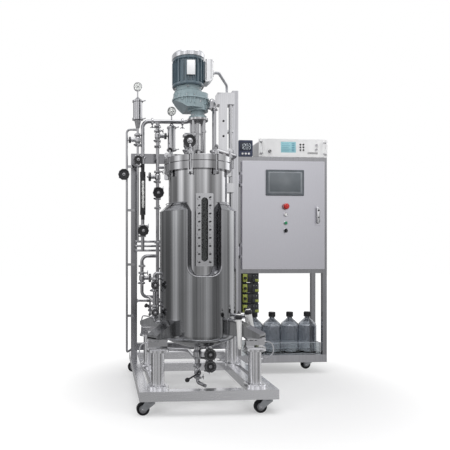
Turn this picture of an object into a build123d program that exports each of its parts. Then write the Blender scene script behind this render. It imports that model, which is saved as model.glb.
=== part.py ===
from build123d import *
from math import atan2, cos, radians, sin, sqrt, tan
import os

# Skid-mounted stainless stirred-tank bioreactor with its control cabinet.
# Frame: millimetres, +Z up, +X to the right and +Y to the back when facing the vessel and the
# cabinet door; the origin is on the floor under the middle of the whole machine.

# ---------------------------------------------------------------- driving dimensions
running_gap = 0.3              # air between a moving piece and what it passes
pin_clearance = 0.05           # radial clearance of a shaft in its hole

rail = 50                      # square tube of the skid
skid_left, skid_right = -635, 89
skid_front, skid_back = -520, 520
rail_bottom = 82               # underside of the skid above the floor
cross_rail_y = 145             # middle of the cross rail between front and back

post = 40                      # square tube of the pipe gantry
post_y = 285
left_post_top = 1497
mast_post_top = 1931
beam_depth = 60                # height of the gantry's upper beam
tie_bottom, tie_top = 190, 235  # lower tie between the posts

frame_tube = 30                # square tube of the cabinet stand
frame_right = 723
frame_front, frame_back = 305, 520
frame_top = 1495
mid_rail_top = 727
base_rail = 50
shelf_thick = 3

caster_wheel_d = 68
caster_wheel_w = 24
caster_trail = 38              # wheel axle behind the swivel axis
caster_plate = 70
caster_plate_thick = 5
caster_inset = 50              # swivel axis in from the frame's outer faces
axle_d = 8
kingpin_d, kingpin_h = 14, 8

vessel_x, vessel_y = -273, -180
vessel_r = 168                 # outside of the pressure shell
vessel_wall = 4
flange_r = 194
flange_bottom = 1300
lid_bottom = 1340
lid_top = 1377
vessel_edge = 446              # where the shell meets its dished end
jacket_r = 219
jacket_gap = 0.5
jacket_top = 1118
jacket_shoulder = 1072
jacket_edge = 388
window_w, window_bottom, window_r = 190, 710, 60  # U-shaped cut in the jacket
outlet_d = 51
outlet_end = 288

sight_w, sight_bottom, sight_top = 95, 766, 1160
sight_slot_w, sight_slot_bottom, sight_slot_top = 37, 792, 1137
sight_front = 205              # face of the sight-glass frame from the vessel axis
sight_frame_thick = 15
sight_glass_thick = 8
sight_lap = 8                  # glass past the slot on each side

leg_dx, leg_dy = 260, 250      # load-cell feet from the vessel axis
leg_d = 70
leg_base_d, leg_base_thick = 115, 12
leg_head_d, leg_head_bottom, leg_head_top = 118, 321, 333
cell_length, cell_width, cell_top = 100, 70, 388
cable_d = 6

shaft_d = 24
impeller_r = 65
impeller_levels = (520, 800)
shaft_bottom = 480

seal_d, seal_top = 62, 1432    # shaft-seal housing on the lid
lantern_flange_r, lantern_flange_thick = 60, 12
lantern_rod_d, lantern_rod_offset = 18, 31
lantern_top = 1612
lantern_collar_z = 1534

gear_flange_r, gear_neck = 51.5, 42
gear_r, gear_height = 60, 100   # output side of the gearbox
input_r, input_height = 75, 36
input_shift = -56              # input side, towards the left
motor_r, motor_length = 92, 160
motor_core_r = 82
fin_thick, fin_count = 4, 20
cowl_r, cowl_height = 94, 40
terminal_inner, terminal_outer = 92.3, 138
terminal_w = 96
conduit_d = 16

mast_plate_left = -64
mast_plate_bottom, mast_plate_top = 1823, 1900
mast_foot_bottom, mast_foot_top = 1240, 1300
channel_left, channel_w, channel_depth, channel_wall = -51, 52, 32, 4
channel_hole_d, channel_hole_pitch = 15, 100
guide_x, guide_d = 26, 24
carriage_d, carriage_bottom, carriage_top = 46, 1400, 1520

vapour_offset, vapour_d, vapour_top = 98, 25, 1710

pipe_y = 195                   # plane of the utility piping
pipe_d = 25
tube_d = 14
ferrule_d = 40
ferrule_thick = 12
main_z = 1694                  # overhead air main
filter_x, filter_r = -596, 30
filter_bottom, filter_top = 1707, 1823
exhaust_x = -374
exhaust_bottom = 1510
gauge_r, gauge_thick = 28, 22
filter_gauge_z, exhaust_gauge_z = 1917, 1762
flow_x = -563                  # column with the rotameter
rotameter_bottom, rotameter_top = 1106, 1330
rotameter_w = 34
header_x = -466                # tall column beside the vessel
drip_x = -667                  # thin outer tube
drip_valve_side = 21           # its valve stands out to the left
drip_bottom, drip_top = 218, 1639
bus_levels = (911, 882, 853)   # stacked manifold tubes
return_z, return_x, return_end = 817, -568, 551

door_left, door_right = 122, 698
door_depth, door_sheet = 20, 2
hinge_x, hinge_r, hinge_pin_d = 114, 5.5, 6
hinge_length = 60
cabinet_wall, cabinet_depth = 2, 200
cabinet_lip = 12
panel_x, panel_w, panel_h = 418, 266, 177
panel_bezel, panel_body_w, panel_body_h, panel_body_depth = 8, 240, 150, 40
control_x = 423
control_heights = (428, 373, 315, 263)  # above the door's lower edge
control_hole_d = 22
stop_head_d, button_head_d = 40, 24
handle_x, handle_height, handle_length, handle_w = 647, 312, 114, 26

rack_left, rack_w, rack_h = 241, 482.6, 122
rack_body_w, rack_depth, rack_panel = 440, 205, 4
rack_knob_x, rack_knob_h = 318, 37
display_left, display_w, display_h, display_depth = 101, 98, 112, 90

pump_left, pump_right = 128, 247
pump_pitch, pump_count, pump_h = 70, 4, 62
pump_depth = 95
bottle_first_x, bottle_pitch, bottle_count = 241, 128, 4
bottle_y, bottle_r, bottle_wall = 405, 62, 2.5
bottle_shoulder, bottle_neck_z, bottle_neck_r, bottle_top = 325, 378, 17, 405
cap_r, cap_top = 23, 420
tray_wall, tray_floor, tray_front_h = 4, 4, 76
tray_left, tray_right = 172, 692
tray_gap = 3

bolt_count, bolt_circle, bolt_d, bolt_slot = 8, 186, 12, 14
bolt_start = 22.5
bracket_w, bracket_tip, bracket_tip_h, bracket_rise, bracket_sheet = 70, 46, 24, 84, 5
bolt_stick_out, nut_seat = 40, 14
ear_gap, ear_w, ear_thick, ear_drop = 14, 22, 6, 30
ear_pin_d, ear_pin_drop = 8, 17
nut_r, nut_h, nut_pitch, nut_offset = 6, 8, 48, 34
lid_ports = [(-70, -72), (vapour_offset, 0), (13, 130), (-128, 40), (74, -104)]
plugged_ports = lid_ports[3:]
lid_valve_size = 1.3
gear_case_r, gear_ribs = 86, 10
cowl_slots = 12
conduit_x = 2
mast_bracket_z = 1651
lift_pad_dx, lift_pad_dy = 113, 92

bonnet_reach, stem_d, stem_h = 44, 8, 18
wheel_thick, wheel_flutes = 14, 10
lever_pin_d = 10
branch_x = -420
manifold_x, manifold_bottom, manifold_top = -525, 440, 720
manifold_valves = ((655, 24), (500, 22))
steam_x, steam_y = -214, -200
outlet_branch_z = 212
exhaust_drop_z = 1395
drip_clip_levels = (420, 760, 1120, 1410)
clamp_places = [
    ((header_x, pipe_y, 1660), (0, 0, 1)),
    ((header_x, pipe_y, 1530), (0, 0, 1)),
    ((filter_x + 95, pipe_y, main_z), (1, 0, 0)),
    ((vessel_x - 30, pipe_y, main_z), (1, 0, 0)),
    ((header_x, pipe_y, 1130), (0, 0, 1)),
    ((header_x, pipe_y, 905), (0, 0, 1)),
    ((return_x, pipe_y, 752), (0, 0, 1)),
    ((branch_x, pipe_y, 560), (0, 0, 1)),
    ((flow_x, pipe_y, 1460), (0, 0, 1)),
]
# Angle round the vessel, distance from its axis, top, length and outward lean of each sleeve.
probe_places = [(-52, 291, 511, 188, 3), (-29, 293, 527, 150, 11), (-4, 290, 508, 138, 0)]
probe_port_drop = 40
device_depth = 60
handle_pin_d = 10
bezel_r, bezel_h = 15, 5
stop_travel, button_travel = 5, 3

rail_top = rail_bottom + rail
gear_bottom = lantern_top + gear_neck
gear_top = gear_bottom + gear_height
motor_bottom = gear_top + input_height
motor_top = motor_bottom + motor_length
cowl_top = motor_top + cowl_height
terminal_bottom, terminal_top = motor_bottom + 28, motor_top - 6
door_bottom, door_top = mid_rail_top - 1, frame_top - frame_tube
panel_z = door_top - 149
stop_z, white_z, green_z, selector_z = [door_bottom + h for h in control_heights]
handle_bottom = door_bottom + handle_height
handle_top = handle_bottom + handle_length
hinge_levels = (door_bottom + 124, door_top - 125)
rack_bottom = frame_top + 2
rack_top = rack_bottom + rack_h
rack_knob_z = rack_bottom + rack_knob_h
display_top = frame_top + display_h
device_rows = [
    (door_top - 125, (70, 110, 70, 90, 50)),
    (door_top - 265, (36, 36, 36, 120, 60)),
    (door_bottom + 234, (180, 90, 90)),
]
exhaust_top = main_z - pipe_d / 2 - 26
beam_bottom = left_post_top - beam_depth
post_front = post_y - post / 2
door_back = frame_front - running_gap
door_front = door_back - door_depth
hinge_y = door_back - 11
vessel_axis = Plane(origin=(vessel_x, vessel_y, 0))
motor_x = vessel_x + input_shift
leg_places = [(vessel_x + i * leg_dx, vessel_y + j * leg_dy) for i in (-1, 1) for j in (-1, 1)]


# ---------------------------------------------------------------- shared shapes
def block(x, y, z, mode=Mode.ADD):
    """Box between the two ends of each (low, high) pair."""
    with Locations(((x[0] + x[1]) / 2, (y[0] + y[1]) / 2, (z[0] + z[1]) / 2)):
        Box(x[1] - x[0], y[1] - y[0], z[1] - z[0], mode=mode)


def rod(start, end, diameter, mode=Mode.ADD):
    """Round bar from one point to another."""
    run = Vector(*end) - Vector(*start)
    with Locations(Plane(origin=start, z_dir=run)):
        Cylinder(diameter / 2, run.length, align=(Align.CENTER, Align.CENTER, Align.MIN), mode=mode)


def turned(outline, axis=Plane.XY, mode=Mode.ADD):
    """Solid of revolution: (radius, height) outline turned about the plane's normal."""
    with BuildSketch(Plane(origin=axis.origin, x_dir=axis.x_dir, z_dir=-axis.y_dir)) as profile:
        with BuildLine():
            Polyline(*outline, close=True)
        make_face()
    revolve(profile.sketch, axis=Axis(axis.origin, axis.z_dir), mode=mode)


def pipe(points, diameter, bend):
    """Round tube along straight runs joined by bends."""
    with BuildLine() as route:
        FilletPolyline(*points, radius=bend)
    with BuildSketch(Plane(origin=route.line @ 0, z_dir=route.line % 0)) as section:
        Circle(diameter / 2)
    sweep(section.sketch, path=route.line)


def clamp_joint(centre, direction, diameter=ferrule_d):
    """Clamped ferrule pair round a pipe: a band with bevelled edges."""
    half = ferrule_thick / 2
    outline = [
        (0, -half),
        (diameter / 2 - 3, -half),
        (diameter / 2, -half + 3),
        (diameter / 2, half - 3),
        (diameter / 2 - 3, half),
        (0, half),
    ]
    turned(outline, Plane(origin=centre, z_dir=direction))


def on_front(x, y, z):
    """Plane at a point on a face that looks to the front, its normal towards -Y."""
    return Plane(origin=(x, y, z), x_dir=(1, 0, 0), z_dir=(0, -1, 0))


def bolt_slots(bottom, top):
    """Open slots in a flange rim for the swing bolts."""
    slot_reach = flange_r - bolt_circle + bolt_slot / 2 + 10
    with Locations((vessel_x, vessel_y, (bottom + top) / 2)):
        with PolarLocations(bolt_circle - bolt_slot / 2 + slot_reach / 2, bolt_count, bolt_start):
            Box(slot_reach, bolt_slot, top - bottom + 2, mode=Mode.SUBTRACT)


def dished_end(radius, edge_z, hole_r, shift=0.0):
    """Arcs of a dished end below edge_z, offset outwards by shift.

    Returns (start, middle, end) points in (radius, height) for the knuckle and the crown; the
    crown is a sphere of 0.9 of the diameter and the knuckle a tenth of it, as on pressed ends.
    """
    crown_r, knuckle_r = 1.8 * radius, 0.2 * radius
    knuckle_x = radius - knuckle_r
    crown_z = edge_z + sqrt((crown_r - knuckle_r) ** 2 - knuckle_x**2)
    join = atan2(edge_z - crown_z, knuckle_x)
    big, small = crown_r + shift, knuckle_r + shift

    def on_knuckle(angle):
        return (knuckle_x + small * cos(angle), edge_z + small * sin(angle))

    def on_crown(r):
        return (r, crown_z - sqrt(big**2 - r**2))

    joint_r = big * cos(join)
    return (
        (on_knuckle(0), on_knuckle(join / 2), on_knuckle(join)),
        (on_knuckle(join), on_crown((joint_r + hole_r) / 2), on_crown(hole_r)),
    )


# ---------------------------------------------------------------- skid and frames
caster_places = [
    (skid_left + caster_inset + caster_trail / 4, skid_front + caster_inset),
    (skid_right - caster_inset + 4, skid_front + caster_inset),
    (skid_left + caster_inset + caster_trail / 4, skid_back - caster_inset),
    (skid_right - caster_inset + 4, skid_back - caster_inset),
    (frame_right - caster_inset + 4, skid_back - caster_inset),
]


def caster_mount(x, y):
    """Plate under the frame with the kingpin that the caster fork turns on."""
    top = rail_bottom
    block(
        (x - caster_plate / 2, x + caster_plate / 2),
        (y - caster_plate / 2, y + caster_plate / 2),
        (top - caster_plate_thick, top),
    )
    rod((x, y, top - caster_plate_thick - kingpin_h), (x, y, top - 1), kingpin_d)


with BuildPart() as skid_frame:
    long_rail_z = (rail_bottom, rail_top)
    block((skid_left, skid_right), (skid_front, skid_front + rail), long_rail_z)
    block((skid_left, skid_right), (skid_back - rail, skid_back), long_rail_z)
    block((skid_left, skid_left + rail), (skid_front, skid_back), long_rail_z)
    block((skid_right - rail, skid_right), (skid_front, skid_back), long_rail_z)
    cross_y = (cross_rail_y - rail / 2, cross_rail_y + rail / 2)
    block((skid_left, skid_right), cross_y, long_rail_z)
    for side in (-1, 1):
        leg_x = vessel_x + side * leg_dx
        block((leg_x - rail / 2, leg_x + rail / 2), (skid_front, cross_rail_y), long_rail_z)
    for x, y in caster_places[:4]:
        caster_mount(x, y)
skid_frame.part.label = "skid_frame"

with BuildPart() as gantry_frame:
    depth = (post_front, post_front + post)
    inner = (skid_left + post, skid_right - post)
    block((skid_left, skid_left + post), depth, (rail_top, left_post_top))
    block((skid_right - post, skid_right), depth, (rail_top, mast_post_top))
    block(inner, depth, (beam_bottom, left_post_top))
    block(inner, depth, (tie_bottom, tie_top))
gantry_frame.part.label = "gantry_frame"

with BuildPart() as cabinet_frame:
    left_x = (skid_right, skid_right + frame_tube)
    right_x = (frame_right - frame_tube, frame_right)
    front_y = (frame_front, frame_front + frame_tube)
    back_y = (frame_back - frame_tube, frame_back)
    for x in (left_x, right_x):
        for y in (front_y, back_y):
            block(x, y, (rail_bottom, frame_top))
    for top in (frame_top, mid_rail_top):
        level = (top - frame_tube, top)
        for y in (front_y, back_y):
            block((skid_right, frame_right), y, level)
        for x in (left_x, right_x):
            block(x, (frame_front, frame_back), level)
    base_z = (rail_bottom, rail_top)
    block((skid_right, frame_right), (frame_front, frame_front + base_rail), base_z)
    block((skid_right, frame_right), (frame_back - base_rail, frame_back), base_z)
    block((frame_right - base_rail, frame_right), (frame_front, frame_back), base_z)
    shelf_z = (rail_top, rail_top + shelf_thick)
    block((left_x[1], right_x[0]), (frame_front, frame_back), shelf_z)
    caster_mount(*caster_places[4])
cabinet_frame.part.label = "cabinet_frame"

# ---------------------------------------------------------------- casters
fork_top = rail_bottom - caster_plate_thick - running_gap
fork_crown = 5
axle_z = caster_wheel_d / 2
cheek_inner = caster_wheel_w / 2 + 2
cheek_outer = cheek_inner + 3
caster_forks, caster_wheels = [], []
for number, (x, y) in enumerate(caster_places, start=1):
    axle_x = x - caster_trail
    with BuildPart() as caster_fork:
        with BuildSketch(Plane.XZ.offset(-y - cheek_outer)):
            with BuildLine():
                Polyline(
                    (x - 24, fork_top),
                    (x + 24, fork_top),
                    (x + 24, fork_top - 14),
                    (axle_x + 12, axle_z - 10),
                    (axle_x - 10, axle_z - 10),
                    (axle_x - 14, axle_z + 6),
                    close=True,
                )
            make_face()
        extrude(amount=2 * cheek_outer)
        wheel_room = (axle_x - caster_wheel_d, x + caster_wheel_d)
        between_cheeks = (y - cheek_inner, y + cheek_inner)
        block(wheel_room, between_cheeks, (0, fork_top - fork_crown), Mode.SUBTRACT)
        swivel = Plane(origin=(x, y, fork_top - 12))
        turned([(0, 0), (17, 0), (23, 5), (23, 12), (0, 12)], swivel)
        with Locations(swivel):
            Cylinder(
                kingpin_d / 2 + pin_clearance,
                60,
                mode=Mode.SUBTRACT,
            )
        rod((axle_x, y - cheek_outer - 3, axle_z), (axle_x, y + cheek_outer + 3, axle_z), axle_d)
    caster_fork.part.label = f"caster_fork_{number}"
    caster_forks.append(caster_fork)

    wheel_r, half_w = caster_wheel_d / 2, caster_wheel_w / 2
    with BuildPart() as caster_wheel:
        bore = axle_d / 2 + pin_clearance
        tread = [
            (bore, -half_w - 1),
            (10, -half_w - 1),
            (12, -half_w + 4),
            (24, -half_w + 4),
            (26, -half_w),
            (wheel_r - 3, -half_w),
            (wheel_r, -half_w + 4),
        ]
        mirrored = [(r, -h) for r, h in reversed(tread)]
        turned(tread + mirrored, on_front(axle_x, y, axle_z))
    caster_wheel.part.label = f"caster_wheel_{number}"
    caster_wheels.append(caster_wheel)

# ---------------------------------------------------------------- feet and load cells
cell_base_top = leg_head_top + 8
cell_plate_thick = 8
cell_mid_z = (cell_base_top + cell_top) / 2
gland_reach = cell_length / 2 + 10
clip_reach, clip_d, gland_d = 8, 10, 11
front_left, front_right = leg_places[0], leg_places[2]
cable_clips = [(front_left, -1, 219), (front_right, 1, 275)]

with BuildPart() as support_legs:
    for x, y in leg_places:
        foot = Plane(origin=(x, y, rail_top))
        column_top = leg_head_top - rail_top
        turned(
            [
                (0, 0),
                (leg_base_d / 2, 0),
                (leg_base_d / 2, leg_base_thick),
                (leg_d / 2, leg_base_thick),
                (leg_d / 2, leg_head_bottom - rail_top),
                (leg_head_d / 2, leg_head_bottom - rail_top),
                (leg_head_d / 2, column_top),
                (0, column_top),
            ],
            foot,
        )
    # Clips on the front legs where the load-cell cables come back.
    for (x, y), side, z in cable_clips:
        rod((x, y, z), (x + side * (leg_d / 2 + clip_reach), y, z), clip_d)
support_legs.part.label = "support_legs"

with BuildPart() as load_cells:
    for x, y in leg_places:
        across = (y - cell_width / 2, y + cell_width / 2)
        beam_y = (y - 17, y + 17)
        block((x - cell_length / 2, x + cell_length / 2), across, (leg_head_top, cell_base_top))
        block((x - cell_length / 2, x - 8), beam_y, (cell_base_top, cell_base_top + 8))
        block((x - cell_length / 2, x + cell_length / 2), beam_y, (cell_base_top + 8, cell_top - 16))
        block((x + 8, x + cell_length / 2), beam_y, (cell_top - 16, cell_top - cell_plate_thick))
        block(
            (x - cell_length / 2, x + cell_length / 2),
            across,
            (cell_top - cell_plate_thick, cell_top),
        )
    for (x, y), side, _ in cable_clips:
        rod((x, y, cell_mid_z), (x + side * gland_reach, y, cell_mid_z), gland_d)
load_cells.part.label = "load_cells"

# ---------------------------------------------------------------- vessel
shell_inner = vessel_r - vessel_wall
outlet_r = outlet_d / 2
outlet_bore = outlet_r - 2
sight_x = (vessel_x - sight_w / 2, vessel_x + sight_w / 2)
sight_face_y = vessel_y - sight_front
frame_back_y = sight_face_y + sight_frame_thick
glass_back_y = frame_back_y + sight_glass_thick


def dished_body(outer, inner, top_outline, hole_outline):
    """Turn a dished shell: inner and outer arcs joined by a rim outline and a hole outline."""
    with BuildSketch(on_front(vessel_x, vessel_y, 0)) as profile:
        with BuildLine():
            Polyline(inner[0][0], *top_outline, outer[0][0])
            ThreePointArc(*outer[0])
            ThreePointArc(*outer[1])
            Polyline(outer[1][2], *hole_outline, inner[1][2])
            ThreePointArc(*reversed(inner[1]))
            ThreePointArc(*reversed(inner[0]))
        make_face()
    revolve(profile.sketch, axis=Axis((vessel_x, vessel_y, 0), (0, 0, 1)))


def upright_slot(width, bottom, top, front_y, back_y, mode):
    """Round-ended upright slot or plate on the vessel's front, between two depths."""
    with BuildSketch(on_front(vessel_x, front_y, (bottom + top) / 2)) as outline:
        SlotOverall(top - bottom, width, rotation=90)
    extrude(outline.sketch, amount=front_y - back_y, mode=mode)


def jacket_end(hole_r):
    """Outer arcs of the jacket's dished end, of the jacket's own radius."""
    return dished_end(jacket_r, jacket_edge, hole_r)


def bracket(x, y):
    """Folded bracket from the jacket out over one load cell."""
    out = Vector(x - vessel_x, y - vessel_y, 0)
    reach = out.length
    side = Plane(origin=(vessel_x, vessel_y, 0), x_dir=out, z_dir=out.cross(Vector(0, 0, 1)))
    root, tip = jacket_r - 8, reach + bracket_tip
    wide = bracket_w / 2
    outline = [
        (root, cell_top),
        (tip, cell_top),
        (tip, cell_top + bracket_tip_h),
        (root + 40, cell_top + bracket_rise),
        (root, cell_top + bracket_rise),
    ]
    t = bracket_sheet
    inside = [
        (root - 20, cell_top + t),
        (tip + 5, cell_top + t),
        (tip + 5, cell_top + bracket_tip_h - 3 * t),
        (root + 40 - t, cell_top + bracket_rise - t),
        (root - 20, cell_top + bracket_rise - t),
    ]
    for points, half, mode in ((outline, wide, Mode.ADD), (inside, wide - t, Mode.SUBTRACT)):
        with BuildSketch(side.offset(-half)) as profile:
            with BuildLine():
                Polyline(*points, close=True)
            make_face()
        extrude(profile.sketch, amount=2 * half, mode=mode)


with BuildPart() as vessel_shell:
    block(sight_x, (frame_back_y, vessel_y - vessel_r + 8), (sight_bottom, sight_top))
    hollow_low = (vessel_x, vessel_y, sight_bottom)
    hollow_high = (vessel_x, vessel_y, sight_top)
    rod(hollow_low, hollow_high, 2 * shell_inner, Mode.SUBTRACT)
    dished_body(
        dished_end(vessel_r, vessel_edge, outlet_r),
        dished_end(vessel_r, vessel_edge, outlet_bore, -vessel_wall),
        [
            (shell_inner, lid_bottom),
            (flange_r, lid_bottom),
            (flange_r, flange_bottom),
            (vessel_r, flange_bottom),
        ],
        [
            (outlet_r, outlet_end + 6),
            (outlet_r + 7, outlet_end + 6),
            (outlet_r + 7, outlet_end),
            (outlet_bore, outlet_end),
        ],
    )
    upright_slot(
        sight_slot_w,
        sight_slot_bottom,
        sight_slot_top,
        frame_back_y - 1,
        vessel_y - vessel_r + 60,
        Mode.SUBTRACT,
    )
    upright_slot(
        sight_slot_w + 2 * sight_lap + running_gap,
        sight_slot_bottom - sight_lap - running_gap,
        sight_slot_top + sight_lap + running_gap,
        frame_back_y - 1,
        glass_back_y,
        Mode.SUBTRACT,
    )
    # Swing-bolt stations: a slot through the flange rim and two ears below it.
    bolt_slots(flange_bottom, lid_bottom)
    with Locations((vessel_x, vessel_y, flange_bottom - ear_drop / 2)):
        with PolarLocations(bolt_circle, bolt_count, start_angle=bolt_start):
            with Locations((0, ear_gap / 2 + ear_thick / 2), (0, -ear_gap / 2 - ear_thick / 2)):
                Box(ear_w, ear_thick, ear_drop)
            ear_hole_r = ear_pin_d / 2 + pin_clearance
            with Locations((0, 0, ear_drop / 2 - ear_pin_drop)):
                Cylinder(ear_hole_r, 3 * ear_gap, rotation=(90, 0, 0), mode=Mode.SUBTRACT)
vessel_shell.part.label = "vessel_shell"

with BuildPart() as vessel_jacket:
    jacket_hole_r = outlet_r + jacket_gap
    dished_body(
        jacket_end(jacket_hole_r),
        dished_end(vessel_r, vessel_edge, jacket_hole_r, jacket_gap),
        [
            (vessel_r + jacket_gap, jacket_top),
            (vessel_r + jacket_gap + 2, jacket_top),
            (jacket_r, jacket_shoulder),
        ],
        [],
    )
    # U-shaped cut round the sight glass, open at the top of the jacket.
    with BuildSketch(on_front(vessel_x, vessel_y - jacket_r - 10, 0)) as cut:
        with Locations((0, window_bottom)):
            RectangleRounded(
                window_w,
                2 * (jacket_top - window_bottom),
                window_r,
                align=(Align.CENTER, Align.MIN),
            )
    extrude(cut.sketch, amount=-(jacket_r + 10), mode=Mode.SUBTRACT)
    # Folded brackets that carry the vessel on its load cells.
    for x, y in leg_places:
        bracket(x, y)
vessel_jacket.part.label = "vessel_jacket"

with BuildPart() as sight_glass_frame:
    block(sight_x, (sight_face_y, frame_back_y), (sight_bottom, sight_top))
    upright_slot(
        sight_slot_w,
        sight_slot_bottom,
        sight_slot_top,
        sight_face_y - 1,
        frame_back_y + 1,
        Mode.SUBTRACT,
    )
    outer_edges = sight_glass_frame.edges().filter_by(Axis.Y).filter_by(GeomType.LINE)
    fillet(outer_edges.group_by(SortBy.LENGTH)[-1], radius=6)
    # Acorn nuts down both long sides.
    nut_rows = round((sight_top - sight_bottom - 2 * 28) / nut_pitch)
    with Locations(on_front(vessel_x, sight_face_y, (sight_bottom + sight_top) / 2)):
        with GridLocations(2 * nut_offset, nut_pitch, 2, nut_rows + 1):
            Cylinder(nut_r, nut_h, align=(Align.CENTER, Align.CENTER, Align.MIN))
sight_glass_frame.part.label = "sight_glass_frame"

with BuildPart() as sight_glass:
    upright_slot(
        sight_slot_w + 2 * sight_lap,
        sight_slot_bottom - sight_lap,
        sight_slot_top + sight_lap,
        frame_back_y,
        glass_back_y,
        Mode.ADD,
    )
sight_glass.part.label = "sight_glass"

# ---------------------------------------------------------------- lid and its clamps
shaft_bore = shaft_d / 2 + pin_clearance
port_top = lid_top + 24
with BuildPart() as lid:
    turned(
        [
            (shaft_bore, lid_bottom),
            (flange_r - 12, lid_bottom),
            (flange_r - 12, lid_bottom + 5),
            (flange_r, lid_bottom + 5),
            (flange_r, lid_top - 3),
            (flange_r - 3, lid_top),
            (seal_d / 2, lid_top),
            (seal_d / 2, seal_top - 8),
            (seal_d / 2 - 8, seal_top),
            (shaft_bore, seal_top),
        ],
        vessel_axis,
    )
    bolt_slots(lid_bottom, lid_top)
    for dx, dy in lid_ports:
        foot = Plane(origin=(vessel_x + dx, vessel_y + dy, lid_top))
        port_h = port_top - lid_top
        turned([(0, 0), (14, 0), (14, port_h - 6), (22, port_h - 3), (22, port_h), (0, port_h)], foot)
    for dx, dy in plugged_ports:
        clamp_joint((vessel_x + dx, vessel_y + dy, port_top + ferrule_thick / 2), (0, 0, 1), 50)
lid.part.label = "lid"

with BuildPart() as clamp_bolts:
    pin_z = flange_bottom - ear_pin_drop
    with Locations((vessel_x, vessel_y, 0)):
        with PolarLocations(bolt_circle, bolt_count, start_angle=bolt_start):
            with Locations((0, 0, pin_z)):
                Cylinder(ear_pin_d / 2, ear_gap + 2 * ear_thick + 4, rotation=(90, 0, 0))
                Cylinder(10, ear_gap - 1, rotation=(90, 0, 0))
                shank_h = lid_top + bolt_stick_out - pin_z
                Cylinder(bolt_d / 2, shank_h, align=(Align.CENTER, Align.CENTER, Align.MIN))
            with Locations((0, 0, lid_top + nut_seat / 2)):
                Cylinder(13, nut_seat)
            with Locations((0, 0, lid_top + bolt_stick_out)):
                Cylinder(14, 7, rotation=(90, 0, 0))
clamp_bolts.part.label = "clamp_bolts"

# ---------------------------------------------------------------- agitator and drive
drive_socket = 26              # depth of the shaft in the gearbox's hollow output
with BuildPart() as agitator:
    rod(
        (vessel_x, vessel_y, shaft_bottom),
        (vessel_x, vessel_y, lantern_top + drive_socket),
        shaft_d,
    )
    for level in impeller_levels:
        hub = Plane(origin=(vessel_x, vessel_y, level))
        turned(
            [(0, -18), (20, -18), (20, -2), (46, -2), (46, 2), (20, 2), (20, 18), (0, 18)],
            hub,
        )
        with Locations(hub):
            with PolarLocations(impeller_r - 16, 6):
                Box(32, 3, 28)
agitator.part.label = "agitator"

with BuildPart() as drive_lantern:
    foot_inner = seal_d / 2 + jacket_gap
    turned(
        [
            (foot_inner, lid_top),
            (lantern_flange_r, lid_top),
            (lantern_flange_r, lid_top + lantern_flange_thick),
            (foot_inner, lid_top + lantern_flange_thick),
        ],
        vessel_axis,
    )
    turned(
        [
            (shaft_d / 2 + 3, lantern_top - lantern_flange_thick),
            (lantern_flange_r, lantern_top - lantern_flange_thick),
            (lantern_flange_r, lantern_top),
            (shaft_d / 2 + 3, lantern_top),
        ],
        vessel_axis,
    )
    for i in (-1, 1):
        for j in (-1, 1):
            x = vessel_x + i * lantern_rod_offset
            y = vessel_y + j * lantern_rod_offset
            rod((x, y, lid_top), (x, y, lantern_top), lantern_rod_d)
            collar = (lantern_collar_z - 5, lantern_collar_z + 5)
            rod((x, y, collar[0]), (x, y, collar[1]), lantern_rod_d + 8)
drive_lantern.part.label = "drive_lantern"

with BuildPart() as gearbox:
    turned(
        [
            (shaft_bore, lantern_top),
            (gear_flange_r, lantern_top),
            (gear_flange_r, lantern_top + 14),
            (gear_flange_r - 12, lantern_top + 14),
            (gear_flange_r - 12, gear_bottom),
            (gear_r, gear_bottom),
            (gear_r, gear_bottom + 10),
            (0, gear_bottom + 10),
            (0, lantern_top + drive_socket + 2),
            (shaft_bore, lantern_top + drive_socket + 2),
        ],
        vessel_axis,
    )
    with BuildSketch(Plane.XY.offset(gear_bottom + 10)):
        with Locations((vessel_x, vessel_y)):
            Circle(gear_r)
        with Locations((motor_x, vessel_y)):
            Circle(gear_case_r)
        make_hull()
    extrude(amount=gear_top - gear_bottom - 10)
    # The case rises towards the input side, so its lower left edge is cut on a slope.
    with BuildSketch(Plane.XZ.offset(-vessel_y - gear_case_r - 5)):
        with BuildLine():
            Polyline(
                (motor_x - gear_case_r - 5, gear_bottom),
                (vessel_x - gear_flange_r - 10, gear_bottom),
                (motor_x - gear_case_r - 5, gear_top - 38),
                close=True,
            )
        make_face()
    extrude(amount=2 * gear_case_r + 10, mode=Mode.SUBTRACT)
    # Round input stage up to the motor's flange.
    turned(
        [
            (0, gear_top - 8),
            (input_r + 4, gear_top - 8),
            (input_r + 4, gear_top + 8),
            (input_r, gear_top + 12),
            (input_r, motor_bottom),
            (0, motor_bottom),
        ],
        Plane(origin=(motor_x, vessel_y, 0)),
    )
    # Cast ribs round the front and back of the case.
    with Locations((motor_x, vessel_y, gear_top - 26)):
        for start in (20, 200):
            with PolarLocations(gear_case_r - 2, gear_ribs, start, 140, endpoint=True):
                Box(9, 4, 40)
gearbox.part.label = "gearbox"

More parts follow.
